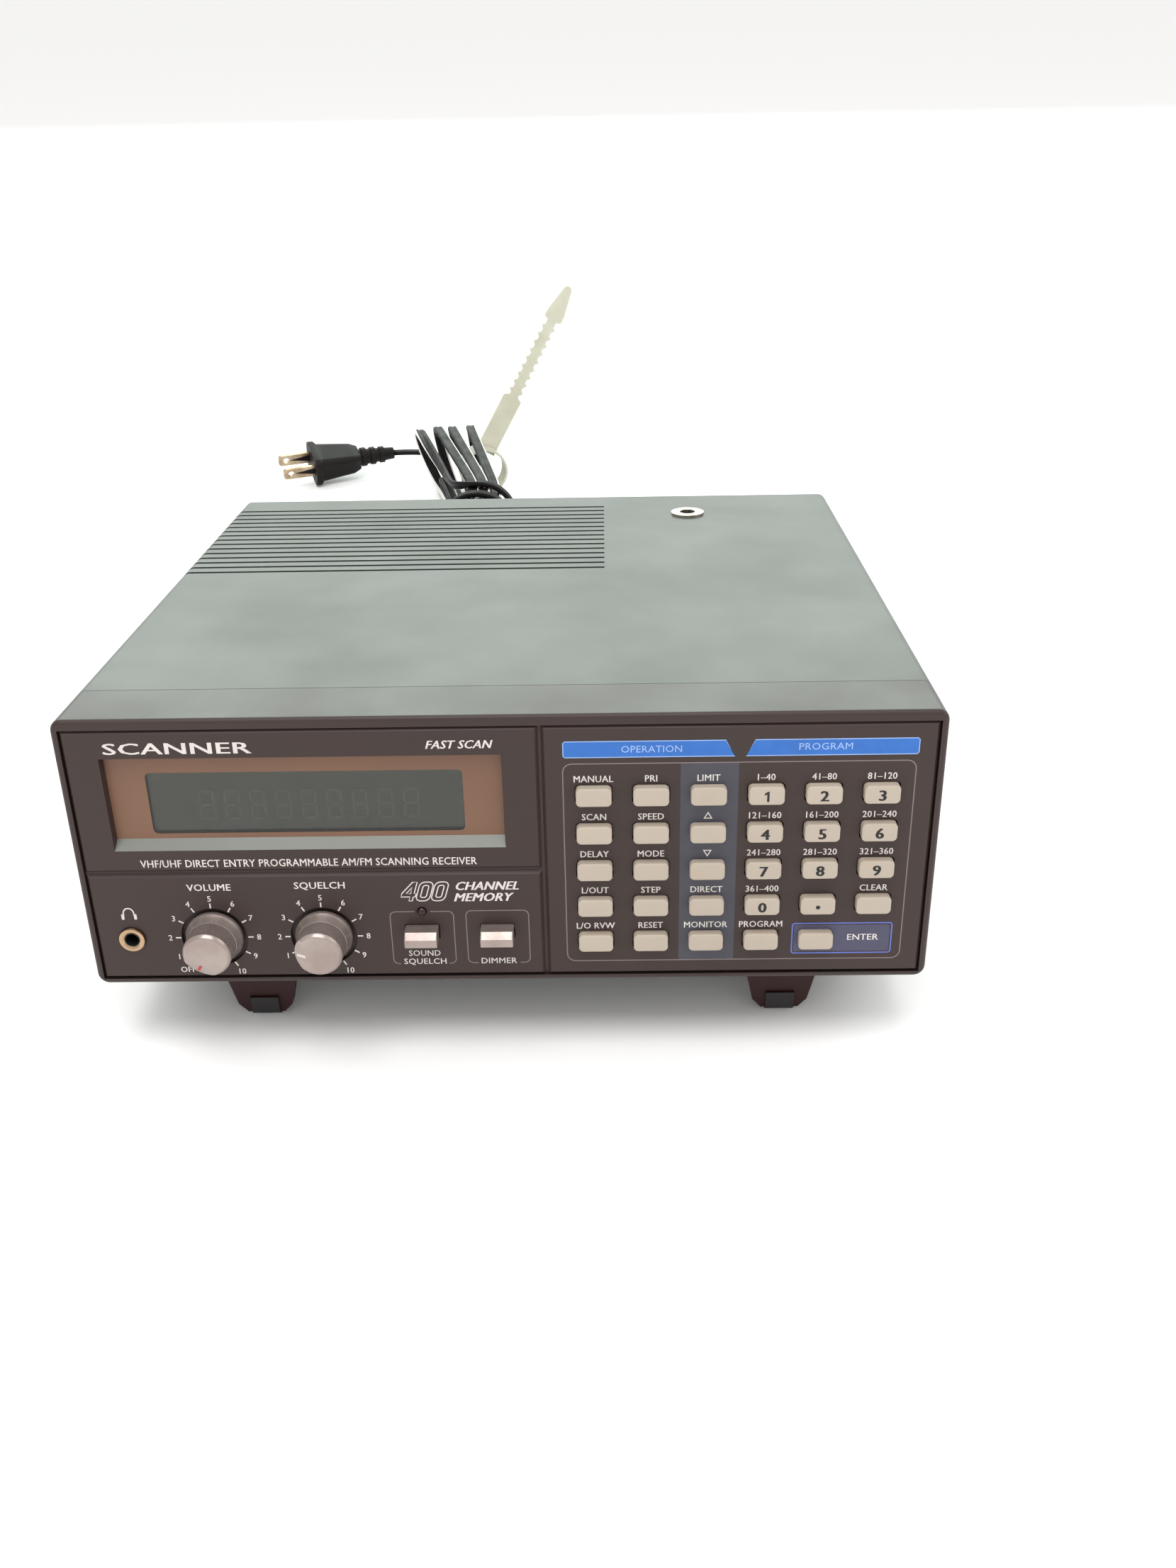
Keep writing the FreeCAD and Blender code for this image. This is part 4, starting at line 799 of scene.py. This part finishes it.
operation_bar = np.array([(15.9, 64.0), (57.2, 64.0), (54.9, 68.2), (15.9, 68.2),
                          (15.5, 67.8), (15.5, 64.4)])
program_bar = np.array([(59.9, 64.0), (101.2, 64.0), (101.6, 64.4), (101.6, 67.8),
                        (101.2, 68.2), (62.1, 68.2)])
print_on("blue_bars", "receiver", blue_ink,
         [printed(plate(bar), 0.0, 0.0, -0.01) for bar in (operation_bar, program_bar)])
pale_blue = ink("pale_blue_ink", srgb(150, 178, 226))
print_on("bar_words", "receiver", pale_blue,
         [printed(letters("OPERATION", 1.75, 14.7), 37.0, 66.1, -0.05),
          printed(letters("PROGRAM", 1.75, 12.9), 79.1, 66.3, -0.05)]
         + [printed(bar_along(bar, 0.22, True), 0.0, 0.0, -0.02)
            for bar in (operation_bar, program_bar)])
print_on("slate_stripe", "receiver", slate_ink,
         [printed(plate(rounded_path(44.1, 58.3, 6.05, 62.15, 0.15, 60.0)), 0.0, 0.0, 0.015)])


def hatching(low_x, high_x, low_z, high_z, spacing, width):
    """Bars down to the right at 45 degrees: x + z = c, cut off by the box, for each c."""
    starts = np.arange(low_x + low_z + spacing, high_x + high_z, spacing)
    bars = []
    for total in starts:
        left = max(low_x, total - high_z)
        right = min(high_x, total - low_z)
        if right - left > 0.3:
            bars.append(bar_along(np.array([(left, total - left), (right, total - right)]),
                                  width, False))
    return bars


violet_ink = ink("violet_ink", srgb(92, 108, 190))
enter_box = bar_along(rounded_path(73.3, 98.8, 7.6, 16.5, 0.7), 0.35, True)
print_on("enter_outline", "receiver", violet_ink, [printed(enter_box, 0.0, 0.0)])
hatch_ink = ink("hatch_ink", srgb(88, 92, 124))
hatch = hatching(73.8, 98.3, 8.1, 16.0, 0.62, 0.24)
print_on("enter_hatching", "receiver", hatch_ink, [printed(bar, 0.0, 0.0, 0.005) for bar in hatch])
print("frame lines", len(grey_lines), "hatch bars", len(hatch))

# %% [markdown]
# ## Dials round the knobs
# Each knob stands in a round recess with eleven marks outside it, 30 degrees apart. The marks are
# placed by angle, so one rule makes both dials: sin for the distance right, cos for up. The
# lowest mark of the volume dial reads OFF, where its switch clicks.

# %% Dial marks
MARK_FROM, MARK_TO = 8.7, 10.1
NUMBER_OUT, LONG_NUMBER_OUT = 11.5, 12.0
OFF_SPOT = (-8.2, -9.7)


def dial_word(words, centre, spot):
    """A small number or word on a dial, at a spot measured from the dial's centre."""
    shape = heavier(letters(words, 1.6, wide=0.95), 0.03)
    return printed(shape, centre[0] + spot[0], centre[1] + spot[1])


def dial(centre, lowest):
    """Marks and numbers: number n stands at the angle 30 n - 150 degrees from straight up."""
    shapes = []
    for number in range(11):
        angle = math.radians(30.0 * number - 150.0)
        way = np.array([math.sin(angle), math.cos(angle)])
        mark = bar_along(np.array([MARK_FROM * way, MARK_TO * way]), 0.38, False)
        shapes.append(printed(mark, *centre))
        if number > 0:
            out = NUMBER_OUT if number < 10 else LONG_NUMBER_OUT
            shapes.append(dial_word(str(number), centre, out * way))
    if lowest:
        shapes.append(dial_word(lowest, centre, OFF_SPOT))
    return shapes


knob_spots = {node: middle_of(node) for node in ("volume_knob", "squelch_knob")}
marks = dial(knob_spots["volume_knob"], "OFF") + dial(knob_spots["squelch_knob"], "")
print_on("dial_marks", "receiver", white_ink, marks)
band = np.radians(np.linspace(0.0, 180.0, 15))
headphone_band = np.stack([1.35 * np.cos(band), 1.5 * np.sin(band) + 0.3], axis=-1)
stems = [np.array([(hand * 1.35, 0.3), (hand * 1.35, -0.4)]) for hand in (-1, 1)]
cups = [rounded_path(hand * 1.62 - 0.36, hand * 1.62 + 0.36, -1.5, 0.1, 0.2, 9.0)
        for hand in (-1, 1)]
sign_shapes = [bar_along(line, 0.36, False) for line in (headphone_band, *stems)]
sign_shapes += [plate(cup) for cup in cups]
print_on("headphone_sign", "receiver", white_ink,
         [printed(shape, -97.2, 21.2) for shape in sign_shapes])
print("dials at", {node: np.round(spot, 2).tolist() for node, spot in knob_spots.items()})

# %% [markdown]
# ## Keys
# The keys are ivory caps with rounded edges, dished by nothing but wear. Finger grease darkens
# them a little and years yellow them in patches, so their colour comes from two noises. The
# numerals are printed on the caps and have to move with them, so each rides on its key's body.

# %% Keys
ivory = moulded("key_ivory", srgb(178, 165, 150), 0.42, 0.5, 0.008, 0.035,
                Subsurface_Weight=0.05, Subsurface_Radius=(1.0, 0.8, 0.6),
                Subsurface_Scale=0.002)
stain = noise(ivory, 75.0, 2.0)
stain_mix = add(ivory.node_tree, "ShaderNodeMix", set_data_type="RGBA", set_blend_type="MULTIPLY")
stain_ramp = add(ivory.node_tree, "ShaderNodeValToRGB")
stain_ramp.color_ramp.elements[0].position = 0.60
stain_ramp.color_ramp.elements[0].color = (1.0, 1.0, 1.0, 1.0)
stain_ramp.color_ramp.elements[1].position = 0.80
stain_ramp.color_ramp.elements[1].color = (1.0, 0.90, 0.74, 1.0)
ivory_links = ivory.node_tree.links
ivory_links.new(stain.outputs[0], stain_ramp.inputs["Fac"])
ivory_colour = shader_of(ivory).inputs["Base Color"]
ivory_links.new(ivory_colour.links[0].from_socket, stain_mix.inputs[6])
ivory_links.new(stain_ramp.outputs["Color"], stain_mix.inputs[7])
stain_mix.inputs[0].default_value = 1.0
ivory_links.new(stain_mix.outputs[2], ivory_colour)

key_nodes = [item["node"] for item in record["subparts"] if item["node"].startswith("key_")]
for node in key_nodes:
    paint(clean_copy(node, 50.0), ivory)


def print_key(name, key, shape, drop):
    """A shape printed on a key's face, drop mm under its middle, that rides on the key."""
    x, z = middle_of(key)
    surface = case_box(key)[0][1] - 0.01
    print_on(name, node_body[key], black_ink, [printed(shape, x, z - drop, surface)])


ONE = np.array([(0.05, -1.37), (0.6, -1.37), (0.6, 1.37), (0.18, 1.37), (-0.55, 0.86),
                (-0.55, 0.36), (0.05, 0.68)])
for numeral in "0123456789":
    shape = plate(ONE) if numeral == "1" else heavier(letters(numeral, 2.75, wide=1.06), 0.17)
    print_key("numeral_" + numeral, "key_" + numeral, shape, 0.1)
turn_round = np.radians(np.arange(0.0, 360.0, 20.0))
dot = 0.55 * np.stack([np.cos(turn_round), np.sin(turn_round)], axis=-1)
print_key("numeral_point", "key_point", plate(dot), 0.2)
print("keys", len(key_nodes))

# %% [markdown]
# ## Knobs
# Each knob is turned from bar and plated: a flared skirt, a body with fine knurling for grip, a
# chamfer, and a flat face with one facet milled off to show where it points. A cylinder with a
# texture would lose the knurl at its edge. So the outline is turned as a grid, the radius gets
# a ripple of 72 teeth between skirt and chamfer, and every point above the facet is let down
# onto it.

# %% Knob shapes
KNOB_TALL = 9.5
CHORD, DROP, CAP = 3.0, 1.8, 6.15
TEETH = 72
KNURL_DEEP = 0.10


def knob_outline():
    """Radius, height and share of knurl from the back of the skirt to the middle of the face."""
    back = [(3.0, -0.6, 0), (7.1, -0.6, 0), (7.35, -0.45, 0), (7.4, -0.2, 0), (7.4, 0.45, 0),
            (7.3, 0.75, 0)]
    flare = [(7.3 - 0.95 * t ** 0.8, 0.75 + 2.5 * t, 0) for t in np.linspace(0.1, 1.0, 8)]
    body = [(6.33, 3.3, 1), *[(6.33 - 0.16 * t, 3.3 + 4.95 * t, 1)
                              for t in np.linspace(0.1, 1.0, 10)]]
    lip = [(6.17, 8.45, 0), (6.1, 8.62, 0), (5.55, 9.38, 0), (5.42, 9.47, 0), (5.3, KNOB_TALL, 0)]
    flat = [(radius, KNOB_TALL, 0) for radius in np.linspace(5.1, 0.15, 26)]
    return np.array(back + flare + body + lip + flat)


def knob_grid(pointer, columns):
    """x = r sin t, z = r cos t, height = the outline's, but never above the facet's plane."""
    radius, height, knurl = knob_outline().T
    turn = 2.0 * math.pi * np.arange(columns) / columns
    ripple = KNURL_DEEP * np.abs(np.sin(TEETH / 2 * turn))
    spread = radius[:, None] - knurl[:, None] * ripple[None, :]
    towards = spread * np.cos(turn - pointer)[None, :]
    limit = KNOB_TALL - DROP * np.clip(towards - CHORD, 0.0, None) / (CAP - CHORD)
    tall = np.minimum(height[:, None], limit)
    return np.stack([spread * np.sin(turn), -tall, spread * np.cos(turn)], axis=-1)


def make_knob(node, pointer_degrees):
    """A closed knob: the turned grid, with its last ring closed by one face."""
    centre_x, centre_z = knob_spots[node]
    grid = knob_grid(math.radians(pointer_degrees), 4 * TEETH)
    count, columns = grid.shape[:2]
    points = on_case(grid.reshape(-1, 3) + [centre_x, 0.0, centre_z])
    faces = [list(quad) for quad in grid_faces(count, columns)]
    faces += [[(count - 1) * columns + index for index in range(columns)],
              list(range(columns))[::-1]]
    return stand_for(link_mesh(node + "_turned", points, faces, smooth=24.0), node)


def pointer_line(node, pointer_degrees, inner, outer, width):
    """A raised bar lying on the facet from inner to outer, along the pointer's way."""
    centre_x, centre_z = knob_spots[node]
    angle = math.radians(pointer_degrees)
    out = np.array([math.sin(angle), math.cos(angle)])
    side = np.array([out[1], -out[0]]) * width / 2
    points = []
    for lift in (0.05, -0.05):
        for reach, hand in ((inner, 1), (outer, 1), (outer, -1), (inner, -1)):
            spot = out * reach + side * hand
            tall = KNOB_TALL - DROP * max(0.0, reach - CHORD) / (CAP - CHORD) + lift
            points.append((centre_x + spot[0], -tall, centre_z + spot[1]))
    faces = [[3, 2, 1, 0], [4, 5, 6, 7], [0, 1, 5, 4], [1, 2, 6, 5], [2, 3, 7, 6], [3, 0, 4, 7]]
    return on_case(points), faces


# The plating is a plain silver; its pink tint is a painted reflection of red surroundings.
silver_painted_pink = surfaced("satin_silver_painted_reflection", srgb(162, 148, 141), 0.30, 0.65,
                  tone=(90.0, 4.0, srgb(155, 140, 134), srgb(169, 156, 149)),
                  gloss=(400.0, 3.0, 0.24, 0.38))
bump(silver_painted_pink, noise(silver_painted_pink, 2500.0, 2.0, (1.0, 0.15, 1.0)), 0.006, 0.5)
for node, degrees, colour in (("volume_knob", -150.0, red_ink),
                              ("squelch_knob", -95.0, white_ink)):
    paint(make_knob(node, degrees), silver_painted_pink)
    line_points, line_faces = pointer_line(node, degrees, 3.1, 5.6, 0.75)
    paint(link_mesh(node + "_pointer", line_points, line_faces, node_body[node]), colour)
print("knob teeth", TEETH, "facet drop", DROP)

# %% [markdown]
# ## Push buttons
# The two buttons are the same plated plastic, with a sloped upper edge that catches the light.
# Their shape is right already, so clean copies take the silver.

# %% Push buttons
BUTTONS = ("sound_squelch_button", "dimmer_button")
# The buttons' silver carries the same pink tint, a painted reflection.
for node in BUTTONS:
    paint(clean_copy(node, 25.0), silver_painted_pink)
print("buttons", len(BUTTONS))

# %% [markdown]
# ## The display window
# Behind the sloped opening lies a clear plate with a bronze mask printed on it, and behind the
# gap in the mask the display glass. With the power off, the glass is a plain dark green-grey
# with its segments only just showing, because they reflect a little less than their ground.

# %% Display
window_low, window_high = case_box("display_lens")
aperture = rounded_path(-88.0, -9.5, 43.3, 60.1, 1.3)


def holed_plate(low_x, high_x, low_z, high_z, hole):
    """A plate round a hole: each hole point is joined to the border point on the same ray."""
    middle = hole.mean(axis=0)
    way = hole - middle
    reach = np.minimum(
        np.where(way[:, 0] > 0, high_x - middle[0], low_x - middle[0]) / (way[:, 0] + 1e-9),
        np.where(way[:, 1] > 0, high_z - middle[1], low_z - middle[1]) / (way[:, 1] + 1e-9))
    border = middle + way * reach[:, None]
    count = len(hole)
    rings = [np.hstack([spots, np.full((count, 1), depth)])
             for spots, depth in ((hole, INK), (border, INK), (border, -INK), (hole, -INK))]
    faces = grid_faces(4, count)[:, ::-1].tolist()
    here = np.arange(count)
    beside = (here + 1) % count
    faces += np.stack([here, beside, beside + 3 * count, here + 3 * count], axis=-1).tolist()
    return np.concatenate(rings), faces


MASK_EDGE = 0.4
bronze = moulded("bronze_mask", srgb(117, 82, 60), 0.42, 0.2, 0.004, 0.05)
mask = holed_plate(window_low[0] + MASK_EDGE, window_high[0] - MASK_EDGE,
                   window_low[2] + MASK_EDGE, window_high[2] - MASK_EDGE, aperture)
print_on("display_mask", "receiver", bronze, [printed(mask, 0.0, 0.0, window_low[1] - 0.04)])
clear = surfaced("window_clear", srgb(214, 218, 208), 0.06, gloss=(60.0, 3.0, 0.03, 0.10),
                 relief=(30.0, 2.0, 0.01, 0.1), Transmission_Weight=1.0, IOR=1.49,
                 Specular_IOR_Level=0.15)
paint(clean_copy("display_lens"), clear)

lcd_ground = surfaced("lcd_ground", srgb(44, 36, 16), 0.32,
                      tone=(18.0, 2.0, srgb(42, 34, 15), srgb(48, 40, 19)),
                      gloss=(700.0, 2.0, 0.24, 0.34), Specular_IOR_Level=0.1)
frame_black = moulded("frame_black", srgb(28, 27, 26), 0.5, 0.3, 0.02, 0.1)
lcd = paint(clean_copy("lcd_module"), frame_black)
lcd_low = case_box("lcd_module")[0]
GLASS_FROM, GLASS_TO = lcd_low[1] + 0.3, lcd_low[1] + 0.5
paint_where(lcd, lcd_ground,
            lambda centre: (centre[:, 1] > GLASS_FROM) & (centre[:, 1] < GLASS_TO))
ghost = ink("lcd_ghost", srgb(48, 42, 24))


def seven_segments(centre_x, centre_z, wide, tall):
    """The seven bars of a digit: three level, four upright, each short of the corners."""
    half_w, half_t = wide / 2, tall / 2
    level = [np.array([(-half_w + 0.3, z), (half_w - 0.3, z)]) for z in (-half_t, 0.0, half_t)]
    upright = [np.array([(x, z + 0.3), (x, z + half_t - 0.3)])
               for x in (-half_w, half_w) for z in (-half_t, 0.0)]
    return [bar_along(bar + [centre_x, centre_z], 0.55, False) for bar in level + upright]


DIGITS, DIGIT_PITCH = 9, 6.4
digits = []
for column in range(DIGITS):
    digits += seven_segments(-74.0 + DIGIT_PITCH * column, 50.4, 3.4, 7.6)
print_on("lcd_segments", "receiver", ghost,
         [printed(bar, 0.0, 0.0, lcd_low[1] + 0.36) for bar in digits])
print("display digits", DIGITS, "aperture points", len(aperture))

# %% [markdown]
# ## Turned small parts
# The feet and the rim of the headphone socket are round about an axis. One function turns an
# outline of radius and height into a closed ring of faces. Every outline starts and ends where
# the next face hides it.

# %% Turned parts
def turned(outline, centre, axis, columns=64):
    """centre + height * axis + radius * (cos t, sin t) across it, closed into a ring."""
    radius, height = np.array(outline, float).T
    axis = np.array(axis, float)
    first = unit(np.cross(axis, RIGHT))
    second = np.cross(axis, first)
    turn = 2.0 * math.pi * np.arange(columns) / columns
    around = np.cos(turn)[:, None] * first + np.sin(turn)[:, None] * second
    grid = radius[:, None, None] * around[None] + height[:, None, None] * axis
    count = len(outline)
    faces = [[index % (count * columns) for index in quad]
             for quad in grid_faces(count + 1, columns).tolist()]
    return on_case(grid.reshape(-1, 3) + centre), faces


nickel = surfaced("nickel", srgb(196, 190, 178), 0.24, 1.0,
                  tone=(120.0, 4.0, srgb(178, 171, 158), srgb(206, 201, 190)),
                  gloss=(500.0, 4.0, 0.16, 0.34), relief=(1800.0, 2.0, 0.004, 0.4))
rubber = moulded("foot_rubber", srgb(34, 31, 31), 0.72, 0.2, 0.03, 0.18)
FOOT_OUTLINE = [(0.02, 0.0), (0.02, -5.0), (5.0, -5.0), (5.6, -4.8), (5.95, -4.3), (6.0, -3.6),
                (6.0, 0.0)]
foot_points, foot_faces = join_parts([turned(FOOT_OUTLINE, (side, 188.0, 0.0),
                                             (0.0, 0.0, 1.0), 48) for side in (-82.0, 82.0)])
paint(stand_for(link_mesh("rear_feet_round", foot_points, foot_faces, smooth=35.0), "rear_feet"),
      rubber)

socket_x, socket_z = middle_of("headphone_socket")
socket_spot = (socket_x, 0.0, socket_z)
bezel_ring = turned([(1.82, 1.0), (1.82, -0.35), (2.05, -0.62), (2.5, -0.9), (2.95, -0.95),
                     (3.28, -0.8), (3.45, -0.4), (3.45, -0.05), (3.0, 0.6)], socket_spot,
                    (0.0, 1.0, 0.0))
socket_brass = surfaced("socket_plating", srgb(182, 152, 122), 0.2, 1.0,
                        gloss=(300.0, 4.0, 0.14, 0.32), relief=(1500.0, 2.0, 0.004, 0.4))
paint(link_mesh("socket_rim", *bezel_ring, "receiver", smooth=35.0), socket_brass)
paint(clean_copy("headphone_socket"), frame_black)
print("socket at", np.round(socket_spot, 2).tolist())

# %% [markdown]
# ## Legs, lamp, tie and plug
# The legs are ribbed nylon-filled plastic with a rubber pad let into each toe. Their coat is
# darker and redder than that plastic's own colour: painted shade, for the shadow the legs stand
# in. The tie is natural nylon, which lets some light through, so it gets a little subsurface
# scatter. The plug is one vinyl moulding over two nickelled brass blades.

# %% Legs, tie and plug
# Painted shade: the legs' coat is darker and redder than their real plastic, for the shadow they
# stand in.
leg_shaded_coat = moulded("leg_plastic", srgb(46, 18, 19), 0.48, 0.3, 0.015, 0.08,
                   Specular_IOR_Level=0.3)
PAD_HALF, PAD_TOP, FAR = 3.95, -14.6, 1000.0
for node in ("left_leg", "right_leg"):
    leg_x = middle_of(node)[0]
    piece = paint(clean_copy(node, 28.0), leg_shaded_coat)
    paint_where(piece, rubber, within((leg_x - PAD_HALF, -FAR, -FAR),
                                      (leg_x + PAD_HALF, FAR, PAD_TOP)))

lamp_red = surfaced("lamp_red", srgb(36, 8, 9), 0.12,
                    tone=(900.0, 2.0, srgb(28, 7, 8), srgb(46, 9, 10)),
                    gloss=(200.0, 2.0, 0.08, 0.18), Transmission_Weight=0.25, IOR=1.5)
paint(clean_copy("signal_led"), lamp_red)

nylon = surfaced("tie_nylon", srgb(188, 186, 172), 0.38,
                 tone=(60.0, 4.0, srgb(182, 180, 165), srgb(195, 193, 180)),
                 gloss=(180.0, 4.0, 0.30, 0.48), relief=(700.0, 3.0, 0.02, 0.5),
                 Subsurface_Weight=0.35, Subsurface_Radius=(1.0, 1.0, 0.8),
                 Subsurface_Scale=0.003)
paint(clean_copy("tie_strap", 30.0), nylon)

plug_vinyl = moulded("plug_vinyl", srgb(18, 12, 12), 0.55, 0.4, 0.02, 0.12,
                     Specular_IOR_Level=0.2)
plug = paint(clean_copy("power_plug", 34.0), plug_vinyl)
blade_face = np.array(mounts["mains_plug"]["pos_m"])
blade_way = np.array(mounts["mains_plug"]["axis"])


def past_flange(centres):
    """True for faces whose centre lies beyond the plug's flange, which are the blades'."""
    return (on_case(centres) - blade_face) @ blade_way > 0.05 * MM


blade_metal = surfaced("blade_nickel", srgb(186, 166, 138), 0.28, 1.0,
                       tone=(140.0, 5.0, srgb(160, 138, 112), srgb(202, 184, 158)),
                       gloss=(420.0, 4.0, 0.2, 0.42), relief=(1400.0, 2.0, 0.005, 0.5))
paint_where(plug, blade_metal, past_flange)
paint(clean_copy("cord_grommet", 35.0), plug_vinyl)
print("legs, tie and plug done")

# %% [markdown]
# ## The back and the inside
# The back is a painted steel plate with its sockets, and screws hold the base. The boards,
# transformer and speaker inside can be glimpsed through the cooling slots, so they get plain
# but true finishes too: green laminate, tinned steel, varnished core and black card.

# %% Back and inside
back_paint = surfaced("back_steel", srgb(54, 53, 52), 0.44, 0.35,
                      tone=(40.0, 4.0, srgb(50, 49, 48), srgb(60, 59, 57)),
                      gloss=(120.0, 4.0, 0.38, 0.52), relief=(1300.0, 3.0, 0.02, 0.6))
paint(clean_copy("rear_panel"), back_paint)
socket_piece = paint(clean_copy("rear_sockets"), frame_black)
BAYONET_FROM = 70.0
panel_back = case_box("rear_panel")[1][1] + 0.01
paint_where(socket_piece, nickel,
            lambda centre: (centre[:, 0] > BAYONET_FROM) | (centre[:, 1] > panel_back))
paint(clean_copy("antenna_bush"), nickel)
zinc = surfaced("zinc_screw", srgb(168, 166, 158), 0.34, 1.0,
                tone=(300.0, 4.0, srgb(150, 149, 140), srgb(184, 181, 168)),
                gloss=(600.0, 3.0, 0.26, 0.44))
paint(clean_copy("case_screws"), zinc)

laminate = moulded("board_laminate", srgb(42, 78, 48), 0.42, 0.15, 0.01, 0.12)
component_black = moulded("component_black", srgb(30, 30, 31), 0.5, 0.2, 0.02, 0.15)
tin = surfaced("tin_plate", srgb(186, 188, 186), 0.3, 1.0,
               tone=(55.0, 5.0, srgb(170, 172, 170), srgb(198, 199, 196)),
               gloss=(200.0, 4.0, 0.22, 0.42))
core_steel = surfaced("core_steel", srgb(96, 84, 70), 0.45, 0.7,
                      gloss=(150.0, 3.0, 0.38, 0.55))
mottle(core_steel, noise(core_steel, 900.0, 2.0, (1.0, 1.0, 0.04)), srgb(70, 62, 54),
       srgb(112, 98, 80))
cone_paper = moulded("speaker_paper", srgb(44, 42, 40), 0.8, 0.6, 0.08, 0.15)
inner_finish = {"board_laminate": laminate, "component_black": component_black,
                "tin_plate": tin, "core_steel": core_steel, "speaker_cone": cone_paper}
for node, slot in node_slot.items():
    if slot in inner_finish:
        paint(frame["nodes"][node], inner_finish[slot])
print("inner nodes", sum(slot in inner_finish for slot in node_slot.values()))

# %% [markdown]
# ## Floor and light
# A plain pale floor and large soft lamps keep attention on the object. The broad panel behind
# and above is what the satin top reflects towards the camera, and it makes the dark coat look
# pale from the front. A soft lamp overhead catches every edge that slopes up, and the even
# surroundings fill the shadows.

# %% Floor and light
FLOOR_HALF = 40.0
floor_corners = FLOOR_HALF * np.array([(-1, -1, 0), (1, -1, 0), (1, 1, 0), (-1, 1, 0)])
floor = link_mesh("floor", floor_corners, [(0, 1, 2, 3)])
paint(floor, surfaced("floor_paper", srgb(250, 249, 248), 0.85,
                      relief=(300.0, 3.0, 0.02, 0.2)))


def soft_lamp(name, spot, aim, wide, tall, watts, colour):
    """A rectangular lamp at spot, facing aim."""
    lamp = bpy.data.objects.new(name, bpy.data.lights.new(name, "AREA"))
    lamp.data.shape = "RECTANGLE"
    lamp.data.size, lamp.data.size_y = wide, tall
    lamp.data.energy = watts
    lamp.data.color = colour
    lamp.location = spot
    lamp.rotation_euler = (Vector(aim) - Vector(spot)).to_track_quat("-Z", "Y").to_euler()
    bpy.context.scene.collection.objects.link(lamp)


LAMPS = (("back_panel", (0.0, 1.7, 1.05), (0.0, 0.0, 0.05), 2.6, 1.3, 32.0, (0.88, 1.0, 0.91)),
         ("overhead", (-0.1, -0.5, 1.5), (0.0, 0.0, 0.03), 1.0, 0.8, 12.0, (1.0, 1.0, 1.0)),
         ("right_fill", (1.2, -0.2, 0.9), (0.0, 0.1, 0.05), 0.8, 0.8, 3.0, (1.0, 1.0, 1.0)))
for lamp in LAMPS:
    soft_lamp(*lamp)
world = bpy.data.worlds.new("studio")
world.use_nodes = True
world.node_tree.nodes["Background"].inputs["Color"].default_value = (1.0, 1.0, 1.0, 1.0)
world.node_tree.nodes["Background"].inputs["Strength"].default_value = 0.95
bpy.context.scene.world = world
bpy.context.scene.view_settings.view_transform = "Standard"
print("lamps", len(LAMPS))
